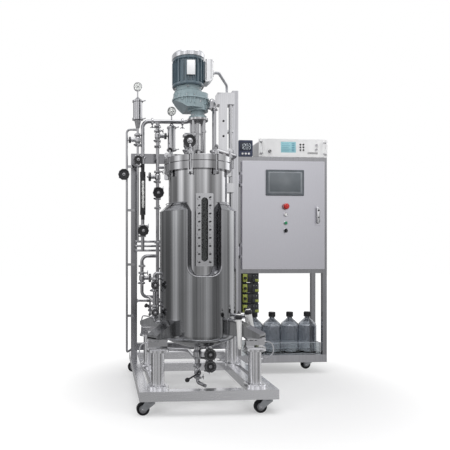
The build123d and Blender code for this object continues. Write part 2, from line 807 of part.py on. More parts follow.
motor_axis = Plane(origin=(motor_x, vessel_y, 0))
fin_bottom, fin_top = motor_bottom + 22, motor_top - 16
with BuildPart() as motor_body:
    turned(
        [
            (0, motor_bottom),
            (motor_r - 4, motor_bottom),
            (motor_r, motor_bottom + 6),
            (motor_r, fin_bottom - 6),
            (motor_core_r, fin_bottom),
            (motor_core_r, fin_top),
            (motor_r - 2, fin_top + 5),
            (motor_r - 2, motor_top),
            (0, motor_top),
        ],
        motor_axis,
    )
    with Locations((motor_x, vessel_y, (fin_bottom + fin_top) / 2)):
        fin_depth = motor_r - motor_core_r + 2
        with PolarLocations(motor_r - fin_depth / 2, fin_count, start_angle=180 / fin_count):
            Box(fin_depth, fin_thick, fin_top - fin_bottom + 4)
    # Flat pad that the terminal box is bolted to, and the same at the front for the plate.
    pad_z = (terminal_bottom + 10, terminal_top - 10)
    pad_x = (motor_x + motor_core_r - 12, motor_x + terminal_inner)
    block(pad_x, (vessel_y - 36, vessel_y + 36), pad_z)
    plate_y = (vessel_y - motor_r - 2, vessel_y - motor_core_r + 12)
    block((motor_x - 24, motor_x + 26), plate_y, (fin_bottom + 26, fin_top - 14))
motor_body.part.label = "motor_body"

with BuildPart() as fan_cowl:
    turned(
        [
            (0, motor_top),
            (cowl_r - 6, motor_top),
            (cowl_r, motor_top + 3),
            (cowl_r, cowl_top - 14),
            (cowl_r - 4, cowl_top - 6),
            (cowl_r - 14, cowl_top - 1),
            (cowl_r - 30, cowl_top),
            (0, cowl_top),
        ],
        motor_axis,
    )
    # Air slots in the top, as rings of short radial slots.
    with Locations((motor_x, vessel_y, cowl_top)):
        with PolarLocations(cowl_r * 0.45, cowl_slots):
            Box(cowl_r * 0.4, 5, 8, mode=Mode.SUBTRACT)
fan_cowl.part.label = "fan_cowl"

with BuildPart() as terminal_box:
    box_x = (motor_x + terminal_inner, motor_x + terminal_outer)
    box_y = (vessel_y - terminal_w / 2, vessel_y + terminal_w / 2)
    with BuildSketch(Plane.XZ.offset(-box_y[1])):
        with BuildLine():
            Polyline(
                (box_x[0], terminal_bottom),
                (box_x[1] - 20, terminal_bottom),
                (box_x[1], terminal_bottom + 18),
                (box_x[1], terminal_top),
                (box_x[0], terminal_top),
                close=True,
            )
        make_face()
    extrude(amount=terminal_w)
    fillet(terminal_box.faces().sort_by(Axis.X)[-1].edges().filter_by(Axis.Z), radius=8)
    gland_z = terminal_bottom + 66
    gland_end = box_x[1] + 16
    rod((box_x[1] - 1, vessel_y, gland_z), (gland_end, vessel_y, gland_z), conduit_d + 8)
terminal_box.part.label = "terminal_box"

channel_right = channel_left + channel_w
mast_y = (post_front - 52, post_y + 5)
guide_y = mast_y[0] + 20
with BuildPart() as motor_conduit:
    conduit_top = mast_plate_top + 52
    route = [
        (gland_end, vessel_y, gland_z),
        (gland_end + 26, vessel_y, gland_z),
        (conduit_x, guide_y, conduit_top),
        (conduit_x, guide_y, mast_plate_top),
    ]
    pipe(route, conduit_d, 26)
motor_conduit.part.label = "motor_conduit"

# ---------------------------------------------------------------- lid hoist
with BuildPart() as lift_mast:
    mast_x = (mast_plate_left, skid_right - post)
    block(mast_x, mast_y, (mast_plate_bottom, mast_plate_top))
    block(mast_x, mast_y, (mast_foot_bottom, mast_foot_top))
    channel_y = (mast_y[0], mast_y[0] + channel_depth)
    channel_z = (mast_foot_top, mast_plate_bottom)
    block((channel_left, channel_right), channel_y, channel_z)
    hollow_x = (channel_left + channel_wall, channel_right - channel_wall)
    block(hollow_x, (channel_y[0] + channel_wall, channel_y[1]), channel_z, Mode.SUBTRACT)
    hole_rows = round((mast_plate_bottom - mast_foot_top) / channel_hole_pitch) - 1
    mast_middle = (mast_plate_bottom + mast_foot_top) / 2
    with Locations(on_front((channel_left + channel_right) / 2, channel_y[0], mast_middle)):
        with GridLocations(channel_w, channel_hole_pitch, 1, hole_rows):
            Cylinder(channel_hole_d / 2, 3 * channel_wall, mode=Mode.SUBTRACT)
    rod((guide_x, guide_y, mast_foot_top), (guide_x, guide_y, mast_plate_bottom), guide_d)
    bracket_z = (mast_bracket_z - 7, mast_bracket_z + 7)
    block((channel_right - channel_wall, mast_x[1]), (guide_y, mast_y[1]), bracket_z)
lift_mast.part.label = "lift_mast"

with BuildPart() as lift_carriage:
    arm_z = (carriage_bottom + carriage_top) / 2
    pad_x, pad_y = vessel_x + lift_pad_dx, vessel_y + lift_pad_dy
    arm = [
        (guide_x, guide_y, arm_z),
        (guide_x, guide_y - 120, arm_z),
        (pad_x, pad_y, arm_z),
        (pad_x, pad_y, lid_top),
    ]
    pipe(arm, 28, 36)
    rod((guide_x, guide_y, carriage_bottom), (guide_x, guide_y, carriage_top), carriage_d)
    rod((pad_x, pad_y, lid_top), (pad_x, pad_y, lid_top + 8), 46)
    guide_hole = guide_d + 2 * pin_clearance
    low = (guide_x, guide_y, carriage_bottom - 10)
    rod(low, (guide_x, guide_y, carriage_top + 10), guide_hole, Mode.SUBTRACT)
lift_carriage.part.label = "lift_carriage"

# ---------------------------------------------------------------- valves and pipework
def valve(centre, along, bonnet, size=1.0):
    """Clamped hand valve: round body along the pipe, bonnet and stem to one side."""
    half = 34 * size
    outline = [
        (0, -half),
        (20 * size, -half),
        (20 * size, -half + 6),
        (12 * size, -half + 9),
        (19 * size, -12 * size),
        (19 * size, 12 * size),
        (12 * size, half - 9),
        (20 * size, half - 6),
        (20 * size, half),
        (0, half),
    ]
    turned(outline, Plane(origin=centre, z_dir=along))
    reach = bonnet_reach * size
    bonnet_foot = Plane(origin=centre, z_dir=bonnet)
    stem_top = reach + stem_h
    turned([(0, 0), (13 * size, 0), (13 * size, reach), (0, reach)], bonnet_foot)
    turned([(0, reach - 4), (stem_d / 2, reach - 4), (stem_d / 2, stem_top), (0, stem_top)], bonnet_foot)


def wheel_hub(place, size=1.0):
    """Plane at the back of the handwheel that sits on a valve's stem."""
    centre, along, bonnet = place
    start = Vector(*centre) + Vector(*bonnet) * (bonnet_reach * size + running_gap)
    return Plane(origin=start, z_dir=bonnet)


def handwheel(hub, radius, bored=True):
    """Fluted handwheel with a raised rim, on a valve stem."""
    with BuildSketch(hub) as disc:
        Circle(radius)
        with PolarLocations(radius + 2.5, wheel_flutes):
            Circle(5.5, mode=Mode.SUBTRACT)
    extrude(disc.sketch, amount=wheel_thick)
    turned(
        [(9, wheel_thick - 5), (radius - 10, wheel_thick - 5), (radius - 8, 60), (9, 60)],
        hub,
        Mode.SUBTRACT,
    )
    if bored:
        with Locations(hub):
            Cylinder(stem_d / 2 + pin_clearance, 4 * wheel_thick, mode=Mode.SUBTRACT)


up, to_front, to_left, to_right = (0, 0, 1), (0, -1, 0), (-1, 0, 0), (1, 0, 0)
lid_valve = ((vessel_x + lid_ports[0][0], vessel_y + lid_ports[0][1], 1456), up, to_front)
air_valve = ((filter_x, pipe_y, 1435), up, to_front)
drip_valve = ((drip_x - drip_valve_side, pipe_y, 1340), to_left, to_front)
flow_valve = ((flow_x, pipe_y, 980), up, to_front)
header_valve = ((header_x, pipe_y, 1224), up, to_front)
jointed_valves = {
    "lid": (lid_valve, 36, lid_valve_size),
    "air": (air_valve, 28, 1.0),
    "drip": (drip_valve, 36, 0.9),
    "flow": (flow_valve, 35, 1.0),
    "header": (header_valve, 36, 1.0),
}
fixed_valves = [
    (((filter_x, pipe_y, 1572), up, to_left), 20),
    (((header_x, pipe_y, 1600), up, to_right), 20),
    (((header_x, pipe_y, 1333), up, to_left), 28),
    (((return_x, pipe_y, 674), up, to_right), 28),
    (((branch_x, pipe_y, 640), up, to_front), 24),
    (((branch_x, pipe_y, 430), up, to_front), 24),
    (((steam_x, steam_y, 261), up, to_front), 35),
    (((steam_x, steam_y, 195), up, to_front), 35),
]
fixed_valves += [(((manifold_x, vessel_y, z), up, to_front), radius) for z, radius in manifold_valves]
lever_z = 150
lever_hub_d, lever_hub_h = 24, 12

with BuildPart() as valve_bodies:
    for place, _, size in jointed_valves.values():
        valve(*place, size)
    # Neck of the lid valve, down to its port.
    lid_valve_x, lid_valve_y, lid_valve_z = lid_valve[0]
    rod((lid_valve_x, lid_valve_y, port_top), (lid_valve_x, lid_valve_y, lid_valve_z - 20), 26)
    for place, radius in fixed_valves:
        valve(*place)
        handwheel(wheel_hub(place), radius, bored=False)
    # Outlet valve right under the vessel, and the drain valve below it.
    below = Plane(origin=(vessel_x, vessel_y, outlet_end), z_dir=(0, 0, -1))
    turned(
        [
            (0, 0),
            (outlet_r + 7, 0),
            (outlet_r + 7, 6),
            (18, 10),
            (26, 22),
            (26, 50),
            (16, 62),
            (16, outlet_end - 200),
            (24, outlet_end - 196),
            (24, outlet_end - 186),
            (0, outlet_end - 186),
        ],
        below,
    )
    turned(
        [
            (0, -36),
            (17, -36),
            (17, -30),
            (12, -26),
            (20, -10),
            (20, 10),
            (12, 26),
            (17, 30),
            (17, 36),
            (0, 36),
        ],
        Plane(origin=(vessel_x, vessel_y, lever_z)),
    )
    lever_back = vessel_y - 30
    rod((vessel_x, vessel_y, lever_z), (vessel_x, lever_back, lever_z), 22)
    rod((vessel_x, lever_back, lever_z), (vessel_x, lever_back - 16, lever_z), lever_pin_d)
valve_bodies.part.label = "valve_bodies"

handwheels = []
for name, (place, radius, size) in jointed_valves.items():
    with BuildPart() as wheel:
        handwheel(wheel_hub(place, size), radius)
    wheel.part.label = f"{name}_handwheel"
    handwheels.append(wheel)

with BuildPart() as drain_lever:
    lever_back_y = lever_back - running_gap
    lever_front_y = lever_back_y - lever_hub_h
    lever_mid_y = (lever_back_y + lever_front_y) / 2
    grip = (vessel_x - 62, lever_mid_y, lever_z - 36)
    rod((vessel_x, lever_back_y, lever_z), (vessel_x, lever_front_y, lever_z), lever_hub_d)
    rod((vessel_x, lever_mid_y, lever_z), grip, 9)
    knob = [(0, -8), (6, -8), (10, -4), (12.5, 2), (12.5, 8), (10, 14), (6, 18), (0, 19)]
    turned(knob, Plane(origin=grip, z_dir=(-62, 0, -36)))
    rod(
        (vessel_x, lever_back_y + 1, lever_z),
        (vessel_x, lever_front_y - 1, lever_z),
        lever_pin_d + 2 * pin_clearance,
        Mode.SUBTRACT,
    )
drain_lever.part.label = "drain_lever"

with BuildPart() as service_pipes:
    lid_back_x, lid_back_y = vessel_x + lid_ports[2][0], vessel_y + lid_ports[2][1]
    # Overhead air main from the flow column to the back of the lid.
    main_route = [
        (flow_x, pipe_y, rotameter_top + 85),
        (flow_x, pipe_y, main_z),
        (lid_back_x, pipe_y, main_z),
        (lid_back_x, lid_back_y, main_z),
        (lid_back_x, lid_back_y, port_top),
    ]
    pipe(main_route, pipe_d, 40)
    # Tall header beside the vessel, running down to the tank's outlet.
    header_route = [
        (header_x, pipe_y, main_z - pipe_d / 4),
        (header_x, pipe_y, outlet_branch_z),
        (vessel_x, pipe_y - 60, outlet_branch_z),
        (vessel_x, vessel_y + 10, outlet_branch_z),
    ]
    pipe(header_route, pipe_d - 3, 40)
    # Small bore tubes: below the inlet filter, the outer drip line and the exhaust drop.
    rod((filter_x, pipe_y, filter_bottom - 58), (filter_x, pipe_y, bus_levels[0]), tube_d)
    drip_route = [
        (filter_x - 4, pipe_y, drip_top),
        (drip_x, pipe_y, drip_top),
        (drip_x, pipe_y, drip_bottom),
    ]
    pipe(drip_route, tube_d, 24)
    exhaust_route = [
        (exhaust_x, pipe_y, exhaust_bottom - 12),
        (exhaust_x, pipe_y, exhaust_drop_z),
        (header_x + 6, pipe_y, exhaust_drop_z),
    ]
    pipe(exhaust_route, pipe_d - 6, 30)
    # Flow column under the rotameter, and the stacked bus tubes it feeds.
    rod((flow_x, pipe_y, rotameter_bottom - 53), (flow_x, pipe_y, bus_levels[-1]), pipe_d - 3)
    for level in bus_levels:
        rod((filter_x - 14, pipe_y, level), (header_x + 24, pipe_y, level), tube_d)
    return_route = [
        (header_x, pipe_y, return_z),
        (return_x, pipe_y, return_z),
        (return_x, pipe_y, return_end),
        (header_x, pipe_y, return_end),
    ]
    pipe(return_route, pipe_d - 3, 36)
    # Lower branch with the jacket valves, tied back to the header.
    rod((branch_x, pipe_y, 330), (branch_x, pipe_y, 740), pipe_d - 6)
    for level in (348, 535, 735):
        rod((header_x, pipe_y, level), (branch_x, pipe_y, level), tube_d)
    # Steam and condensate riser beside the outlet.
    rod((steam_x, steam_y, 150), (steam_x, steam_y, 306), tube_d)
    rod((steam_x, steam_y, 232), (vessel_x, steam_y, 232), tube_d - 2)
    rod((vessel_x, steam_y, 232), (vessel_x, vessel_y - 5, 232), tube_d - 2)
    # Manifold that feeds the jacket from its left side, joined to the return line.
    jacket_side = vessel_x - jacket_r + 4
    manifold_route = [
        (jacket_side, vessel_y, manifold_top),
        (manifold_x, vessel_y, manifold_top),
        (manifold_x, vessel_y, manifold_bottom),
        (jacket_side, vessel_y, manifold_bottom),
    ]
    pipe(manifold_route, 19, 16)
    rod((manifold_x, vessel_y, return_end), (manifold_x, pipe_y, return_end), 17)
    # Spout below the drain valve.
    spout = [
        (vessel_x, vessel_y, lever_z - 36),
        (vessel_x, vessel_y, lever_z - 62),
        (vessel_x + 34, vessel_y - 60, lever_z - 68),
    ]
    pipe(spout, 20, 16)
    for centre, direction in clamp_places:
        clamp_joint(centre, direction)
    # Clips that hold the columns on the gantry.
    beam_clip_z = left_post_top - beam_depth / 2
    for x in (filter_x, flow_x, header_x):
        block((x - 9, x + 9), (pipe_y, post_front), (beam_clip_z - 10, beam_clip_z + 10))
    tie_z = (tie_bottom + tie_top) / 2
    block((header_x - 9, header_x + 9), (pipe_y, post_front), (tie_z - 10, tie_z + 10))
    for z in drip_clip_levels:
        block((drip_x - 4, drip_x + 4), (pipe_y, post_front), (z - 8, z + 8))
        block((drip_x - 4, skid_left + 22), (post_front - 6, post_front), (z - 8, z + 8))
    add(valve_bodies.part, mode=Mode.SUBTRACT)
    add(vessel_jacket.part, mode=Mode.SUBTRACT)
service_pipes.part.label = "service_pipes"

with BuildPart() as air_filters:
    for x, low, high, tail, r in (
        (filter_x, filter_bottom, filter_top, 58, filter_r),
        (exhaust_x, exhaust_bottom, exhaust_top, 12, filter_r - 4),
    ):
        housing = Plane(origin=(x, pipe_y, low))
        tall = high - low
        turned(
            [
                (0, -tail),
                (12, -tail),
                (r - 8, -10),
                (r + 6, -6),
                (r + 6, 6),
                (r, 8),
                (r, tall - 8),
                (r + 5, tall - 6),
                (r + 5, tall + 4),
                (r - 8, tall + 12),
                (7, tall + 26),
                (0, tall + 26),
            ],
            housing,
        )
        # Wing nuts of the two clamps.
        for level in (0, tall - 1):
            wing = (x + r + 4, pipe_y - 10, low + level)
            rod(wing, (wing[0] + 16, wing[1] - 8, wing[2] + 3), 7)
air_filters.part.label = "air_filters"

with BuildPart() as pressure_gauges:
    for x, z, low in (
        (filter_x, filter_gauge_z, filter_top + 26),
        (exhaust_x, exhaust_gauge_z, main_z + pipe_d / 2),
    ):
        rod((x, pipe_y, low), (x, pipe_y, z), 9)
        face = on_front(x, pipe_y - gauge_thick / 2, z)
        turned(
            [
                (0, -gauge_thick),
                (gauge_r - 4, -gauge_thick),
                (gauge_r - 1, -gauge_thick + 3),
                (gauge_r - 1, -5),
                (gauge_r, -5),
                (gauge_r, 0),
                (gauge_r - 3, 0),
                (gauge_r - 3, -2),
                (0, -2),
            ],
            face,
        )
pressure_gauges.part.label = "pressure_gauges"

with BuildPart() as rotameter:
    half = rotameter_w / 2
    top_fit, low_fit = rotameter_top + 85, rotameter_bottom - 53
    flow_axis = Plane(origin=(flow_x, pipe_y, 0))
    for tip, body in ((top_fit, rotameter_top), (low_fit, rotameter_bottom)):
        neck = body + (tip - body) * 0.4
        turned([(0, body), (half + 1, body), (half + 1, neck), (12, neck), (12, tip), (0, tip)], flow_axis)
    body_z = (rotameter_bottom, rotameter_top)
    block((flow_x - half, flow_x + half), (pipe_y - half, pipe_y + half), body_z)
    fillet(rotameter.edges().filter_by(Axis.Z).filter_by(GeomType.LINE), radius=5)
    # Scale window in the front of the body.
    window_x = (flow_x - half / 2, flow_x + half / 2)
    window_y = (pipe_y - half - 1, pipe_y - half + 4)
    block(window_x, window_y, (rotameter_bottom + 22, rotameter_top - 22), Mode.SUBTRACT)
rotameter.part.label = "rotameter"

vapour_x = vessel_x + vapour_offset
with BuildPart() as vapour_pipe:
    hook_dx, hook_dy = -30, -52
    vapour_route = [
        (vapour_x, vessel_y, port_top),
        (vapour_x, vessel_y, vapour_top),
        (vapour_x + hook_dx, vessel_y + hook_dy, vapour_top),
        (vapour_x + hook_dx, vessel_y + hook_dy, vapour_top - 52),
    ]
    pipe(vapour_route, vapour_d, 20)
    clamp_joint((vapour_x, vessel_y, port_top + ferrule_thick / 2), up, 50)
    clamp_joint((vapour_x, vessel_y, vapour_top - 40), up, 42)
    clamp_joint((vapour_x + hook_dx, vessel_y + hook_dy, vapour_top - 46), up, 40)
vapour_pipe.part.label = "vapour_pipe"

with BuildPart() as probe_sleeves:
    for angle, reach, top, length, lean in probe_places:
        outwards = Vector(cos(radians(angle)), sin(radians(angle)), 0)
        head = Vector(vessel_x, vessel_y, top) + outwards * reach
        # White sleeve, tapering down from its black collar, clamped to the port on the jacket.
        upwards = Vector(0, 0, 1) - outwards * tan(radians(lean))
        turned(
            [
                (0, -length),
                (9, -length),
                (12, 16 - length),
                (15, -30),
                (17, -28),
                (17, -10),
                (11, 0),
                (0, 0),
            ],
            Plane(origin=head, z_dir=upwards),
        )
        port_end = head - upwards * probe_port_drop
        port_root = Vector(vessel_x, vessel_y, port_end.Z) + outwards * (jacket_r - 4)
        rod(port_root, port_end, 14)
    add(vessel_jacket.part, mode=Mode.SUBTRACT)
probe_sleeves.part.label = "probe_sleeves"

# ---------------------------------------------------------------- control cabinet
body_x = (skid_right + frame_tube, frame_right - frame_tube)
body_y = (frame_front, frame_front + cabinet_depth)
body_z = (mid_rail_top, frame_top - frame_tube)
plate_y = (body_y[1] - 22, body_y[1] - 19)
with BuildPart() as cabinet_body:
    block(body_x, body_y, body_z)
    inside_x = (body_x[0] + cabinet_wall, body_x[1] - cabinet_wall)
    inside_y = (body_y[0] + cabinet_wall, body_y[1] - cabinet_wall)
    inside_z = (body_z[0] + cabinet_wall, body_z[1] - cabinet_wall)
    block(inside_x, inside_y, inside_z, Mode.SUBTRACT)
    mouth_x = (body_x[0] + cabinet_lip, body_x[1] - cabinet_lip)
    mouth_z = (body_z[0] + cabinet_lip, body_z[1] - cabinet_lip)
    block(mouth_x, (body_y[0] - 1, body_y[0] + 10), mouth_z, Mode.SUBTRACT)
    # Studs that hold the mounting plate off the back wall.
    for x in (body_x[0] + 60, body_x[1] - 60):
        for z in (body_z[0] + 60, body_z[1] - 60):
            rod((x, plate_y[1], z), (x, body_y[1] - 1, z), 12)
    # Fixed hinge leaves on the stand's upright, each with its pin.
    for z in hinge_levels:
        leaf_z = (z - hinge_length / 2, z + hinge_length / 2)
        block((hinge_x - 3, hinge_x), (door_front + 10, frame_front), leaf_z)
        block((hinge_x - 16, hinge_x), (frame_front - 3, frame_front), leaf_z)
        rod((hinge_x, hinge_y, leaf_z[0]), (hinge_x, hinge_y, leaf_z[1]), 2 * hinge_r)
        pin_low = (hinge_x, hinge_y, leaf_z[0] - 22)
        rod(pin_low, (hinge_x, hinge_y, leaf_z[1] + 22), hinge_pin_d)
cabinet_body.part.label = "cabinet_body"

with BuildPart() as mounting_plate:
    plate_x = (body_x[0] + 30, body_x[1] - 30)
    plate_z = (body_z[0] + 30, body_z[1] - 30)
    block(plate_x, plate_y, plate_z)
    for level, widths in device_rows:
        left = plate_x[0] + 30
        rail_z = (level - 17, level + 17)
        block((plate_x[0] + 12, plate_x[1] - 12), (plate_y[0] - 8, plate_y[0]), rail_z)
        for width in widths:
            device = (left, left + width)
            block(device, (plate_y[0] - 8 - device_depth, plate_y[0] - 8), (level - 45, level + 45))
            left += width + 6
mounting_plate.part.label = "mounting_plate"

stem_r = control_hole_d / 2
with BuildPart() as cabinet_door:
    block((door_left, door_right), (door_front, door_back), (door_bottom, door_top))
    fillet(cabinet_door.edges().filter_by(Axis.Y), radius=4)
    block(
        (door_left + door_sheet, door_right - door_sheet),
        (door_front + door_sheet, door_back + 1),
        (door_bottom + door_sheet, door_top - door_sheet),
        Mode.SUBTRACT,
    )
    panel_hole_x = (panel_x - panel_body_w / 2 - 1, panel_x + panel_body_w / 2 + 1)
    panel_hole_z = (panel_z - panel_body_h / 2 - 1, panel_z + panel_body_h / 2 + 1)
    through = (door_front - 1, door_front + 10)
    block(panel_hole_x, through, panel_hole_z, Mode.SUBTRACT)
    # Escutcheon of the swing handle, a raised plate with the pivot pin at its top.
    plate_x = (handle_x - handle_w / 2 - 4, handle_x + handle_w / 2 + 4)
    block(plate_x, (door_front - 4, door_front + 1), (handle_bottom - 12, handle_top + 12))
    pivot_z = handle_top - handle_w / 2
    rod((handle_x, door_front, pivot_z), (handle_x, door_front - 22, pivot_z), handle_pin_d)
    # Bezels and bushes of the push buttons and the selector.
    for z in (stop_z, white_z, green_z, selector_z):
        spot = on_front(control_x, door_front, z)
        bush = [(0, -8), (stem_r + 2, -8), (stem_r + 2, 0), (bezel_r, 0)]
        turned(bush + [(bezel_r, 3), (bezel_r - 2, bezel_h), (0, bezel_h)], spot)
        with Locations(spot):
            Cylinder(stem_r + pin_clearance, 60, mode=Mode.SUBTRACT)
    # Knuckles that drop over the hinge pins, above and below each fixed leaf.
    for z in hinge_levels:
        for side in (-1, 1):
            low = z + side * (hinge_length / 2 + running_gap + 10) - 10
            rod((hinge_x, hinge_y, low), (hinge_x, hinge_y, low + 20), 2 * hinge_r)
            block((hinge_x, door_left + 1), (hinge_y - 3, hinge_y + 3), (low, low + 20))
            bore_low = (hinge_x, hinge_y, low - 1)
            bore = hinge_pin_d + 2 * pin_clearance
            rod(bore_low, (hinge_x, hinge_y, low + 21), bore, Mode.SUBTRACT)
cabinet_door.part.label = "cabinet_door"

with BuildPart() as door_handle:
    lever_y = door_front - 4 - running_gap
    with BuildSketch(on_front(handle_x, lever_y, (handle_top + handle_bottom) / 2)):
        SlotOverall(handle_top - handle_bottom, handle_w, rotation=90)
    extrude(amount=14)
    chamfer(door_handle.faces().sort_by(Axis.Y)[0].edges(), length=3)
    with Locations(on_front(handle_x, lever_y, pivot_z)):
        Cylinder(handle_pin_d / 2 + pin_clearance, 60, mode=Mode.SUBTRACT)
door_handle.part.label = "door_handle"

with BuildPart() as touch_panel:
    bezel_x = (panel_x - panel_w / 2, panel_x + panel_w / 2)
    bezel_z = (panel_z - panel_h / 2, panel_z + panel_h / 2)
    block(bezel_x, (door_front - panel_bezel, door_front), bezel_z)
    fillet(touch_panel.edges().filter_by(Axis.Y), radius=6)
    chamfer(touch_panel.faces().sort_by(Axis.Y)[0].edges(), length=2.5)
    back_x = (panel_x - panel_body_w / 2, panel_x + panel_body_w / 2)
    back_z = (panel_z - panel_body_h / 2, panel_z + panel_body_h / 2)
    block(back_x, (door_front, door_front + panel_body_depth), back_z)
touch_panel.part.label = "touch_panel"

# Controls: each is a plunger in its bush, with a head in front of the bezel.
stem_back = door_front + 34
with BuildPart() as emergency_stop:
    gap = bezel_h + stop_travel + 1
    turned(
        [
            (0, door_front - stem_back),
            (stem_r, door_front - stem_back),
            (stem_r, gap),
            (stop_head_d / 2 - 4, gap),
            (stop_head_d / 2, gap + 4),
            (stop_head_d / 2, gap + 9),
            (stop_head_d / 2 - 6, gap + 15),
            (0, gap + 17),
        ],
        on_front(control_x, door_front, stop_z),
    )
emergency_stop.part.label = "emergency_stop"

push_buttons = []
for name, z in (("white_button", white_z), ("green_button", green_z)):
    with BuildPart() as button:
        proud = bezel_h + button_travel + 1.5
        turned(
            [
                (0, door_front - stem_back),
                (stem_r, door_front - stem_back),
                (stem_r, proud - 1.5),
                (stem_r - 1.5, proud),
                (0, proud),
            ],
            on_front(control_x, door_front, z),
        )
    button.part.label = name
    push_buttons.append(button)

with BuildPart() as selector_knob:
    lift = bezel_h + running_gap
    turned(
        [
            (0, door_front - stem_back),
            (stem_r, door_front - stem_back),
            (stem_r, lift),
            (button_head_d / 2 + 1, lift),
            (button_head_d / 2, lift + 6),
            (0, lift + 6),
        ],
        on_front(control_x, door_front, selector_z),
    )
    grip_y = (door_front - lift - 18, door_front - lift - 5)
    block((control_x - 4, control_x + 4), grip_y, (selector_z - 13, selector_z + 13))
selector_knob.part.label = "selector_knob"

# ---------------------------------------------------------------- instruments on the stand
with BuildPart() as rack_instrument:
    rack_x = (rack_left, rack_left + rack_w)
    middle = rack_left + rack_w / 2
    case_x = (middle - rack_body_w / 2, middle + rack_body_w / 2)
    case_y = (frame_front, frame_front + rack_depth)
    block(case_x, case_y, (frame_top, rack_top - 4))
    block(rack_x, (frame_front - rack_panel, frame_front), (rack_bottom, rack_top))
    fillet(rack_instrument.edges().filter_by(Axis.Y).group_by(Axis.Z)[-1], radius=2)
    # Pull handles at both ends of the front panel.
    for x in (rack_x[0] + 18, rack_x[1] - 18):
        grip_y = frame_front - rack_panel - 30
        for z in (rack_bottom + 22, rack_top - 22):
            rod((x, frame_front - rack_panel, z), (x, grip_y, z), 9)
        rod((x, grip_y, rack_bottom + 17.5), (x, grip_y, rack_top - 17.5), 9)
    # Display window, rotary knob and keys.
    panel_y = frame_front - rack_panel
    window_x = (rack_x[0] + 155, rack_x[0] + 262)
    block(window_x, (panel_y - 1, panel_y + 2), (rack_bottom + 29, rack_top - 18), Mode.SUBTRACT)
    rod((rack_knob_x, panel_y, rack_knob_z), (rack_knob_x, panel_y - 14, rack_knob_z), 16)
    with Locations(on_front(rack_x[0] + 302, panel_y, rack_bottom + 66)):
        with GridLocations(21, 19, 2, 3):
            Box(10, 10, 6)
rack_instrument.part.label = "rack_instrument"

with BuildPart() as display_unit:
    unit_x = (display_left, display_left + display_w)
    unit_y = (frame_front - rack_panel, frame_front - rack_panel + display_depth)
    block(unit_x, unit_y, (frame_top, display_top))
    fillet(display_unit.edges().filter_by(Axis.Y), radius=6)
    glass_z = (frame_top + 38, display_top - 12)
    block((unit_x[0] + 10, unit_x[1] - 10), (unit_y[0] - 1, unit_y[0] + 2), glass_z, Mode.SUBTRACT)
display_unit.part.label = "display_unit"

with BuildPart() as pump_stack:
    pump_y = (frame_front + frame_tube / 2, frame_front + frame_tube / 2 + pump_depth)
    stack_top = mid_rail_top - frame_tube
    stack_low = stack_top - pump_pitch * pump_count + (pump_pitch - pump_h)
    bracket_x = (skid_right + frame_tube, pump_left)
    block(bracket_x, pump_y, (stack_low, stack_top))
    for number in range(pump_count):
        top = stack_top - number * pump_pitch
        block((pump_left, pump_right), pump_y, (top - pump_h, top))
        # Round pump head on the front of each drive, with its clear track cover.
        head = on_front(pump_left + 38, pump_y[0], top - pump_h / 2)
        turned([(0, 0), (27, 0), (27, 22), (24, 26), (10, 26), (10, 30), (0, 30)], head)
        block((pump_left + 74, pump_right - 6), (pump_y[0] - 5, pump_y[0]), (top - pump_h + 8, top - 8))
pump_stack.part.label = "pump_stack"

shelf_top = rail_top + shelf_thick
bottle_floor = shelf_top + tray_floor
bottle_xs = [bottle_first_x + n * bottle_pitch for n in range(bottle_count)]
with BuildPart() as bottle_tray:
    tray_y = (bottle_y - bottle_r - tray_gap - tray_wall, bottle_y + bottle_r + tray_gap + tray_wall)
    block((tray_left, tray_right), tray_y, (shelf_top, shelf_top + tray_front_h))
    block(
        (tray_left + tray_wall, tray_right - tray_wall),
        (tray_y[0] + tray_wall, tray_y[1] - tray_wall),
        (bottle_floor, shelf_top + tray_front_h + 1),
        Mode.SUBTRACT,
    )
bottle_tray.part.label = "bottle_tray"

with BuildPart() as bottles:
    r, t, neck = bottle_r, bottle_wall, bottle_neck_r
    for x in bottle_xs:
        turned(
            [
                (0, bottle_floor),
                (r - 8, bottle_floor),
                (r, bottle_floor + 8),
                (r, bottle_shoulder),
                (r - 6, bottle_shoulder + 16),
                (neck + 8, bottle_neck_z - 8),
                (neck, bottle_neck_z),
                (neck, bottle_top),
                (neck - t, bottle_top),
                (neck - t, bottle_neck_z - 2),
                (neck + 7 - t, bottle_neck_z - 10),
                (r - 8 - t, bottle_shoulder + 13),
                (r - t, bottle_shoulder),
                (r - t, bottle_floor + 10),
                (r - 10, bottle_floor + 4),
                (0, bottle_floor + 4),
            ],
            Plane(origin=(x, bottle_y, 0)),
        )
bottles.part.label = "bottles"

with BuildPart() as bottle_caps:
    cap_inner = bottle_neck_r + running_gap
    for x in bottle_xs:
        turned(
            [
                (0, bottle_top),
                (cap_inner, bottle_top),
                (cap_inner, bottle_neck_z + 8),
                (cap_r, bottle_neck_z + 8),
                (cap_r, cap_top - 2),
                (cap_r - 2, cap_top),
                (0, cap_top),
            ],
            Plane(origin=(x, bottle_y, 0)),
        )
bottle_caps.part.label = "bottle_caps"

# ---------------------------------------------------------------- load-cell cables
def cord(points, diameter):
    """Cable as straight runs joined by the largest arcs that the runs allow."""
    corners = [Vector(*p) for p in points]
    radii = []
    for before, here, after in zip(corners, corners[1:], corners[2:]):
        run_in, run_out = here - before, after - here
        turn = run_in.get_angle(run_out)
        radii.append(0.45 * min(run_in.length, run_out.length) / tan(radians(turn / 2)))
    with BuildLine() as route:
        FilletPolyline(*points, radius=radii)
    with BuildSketch(Plane(origin=route.line @ 0, z_dir=route.line % 0)) as section:
        Circle(diameter / 2)
    sweep(section.sketch, path=route.line)


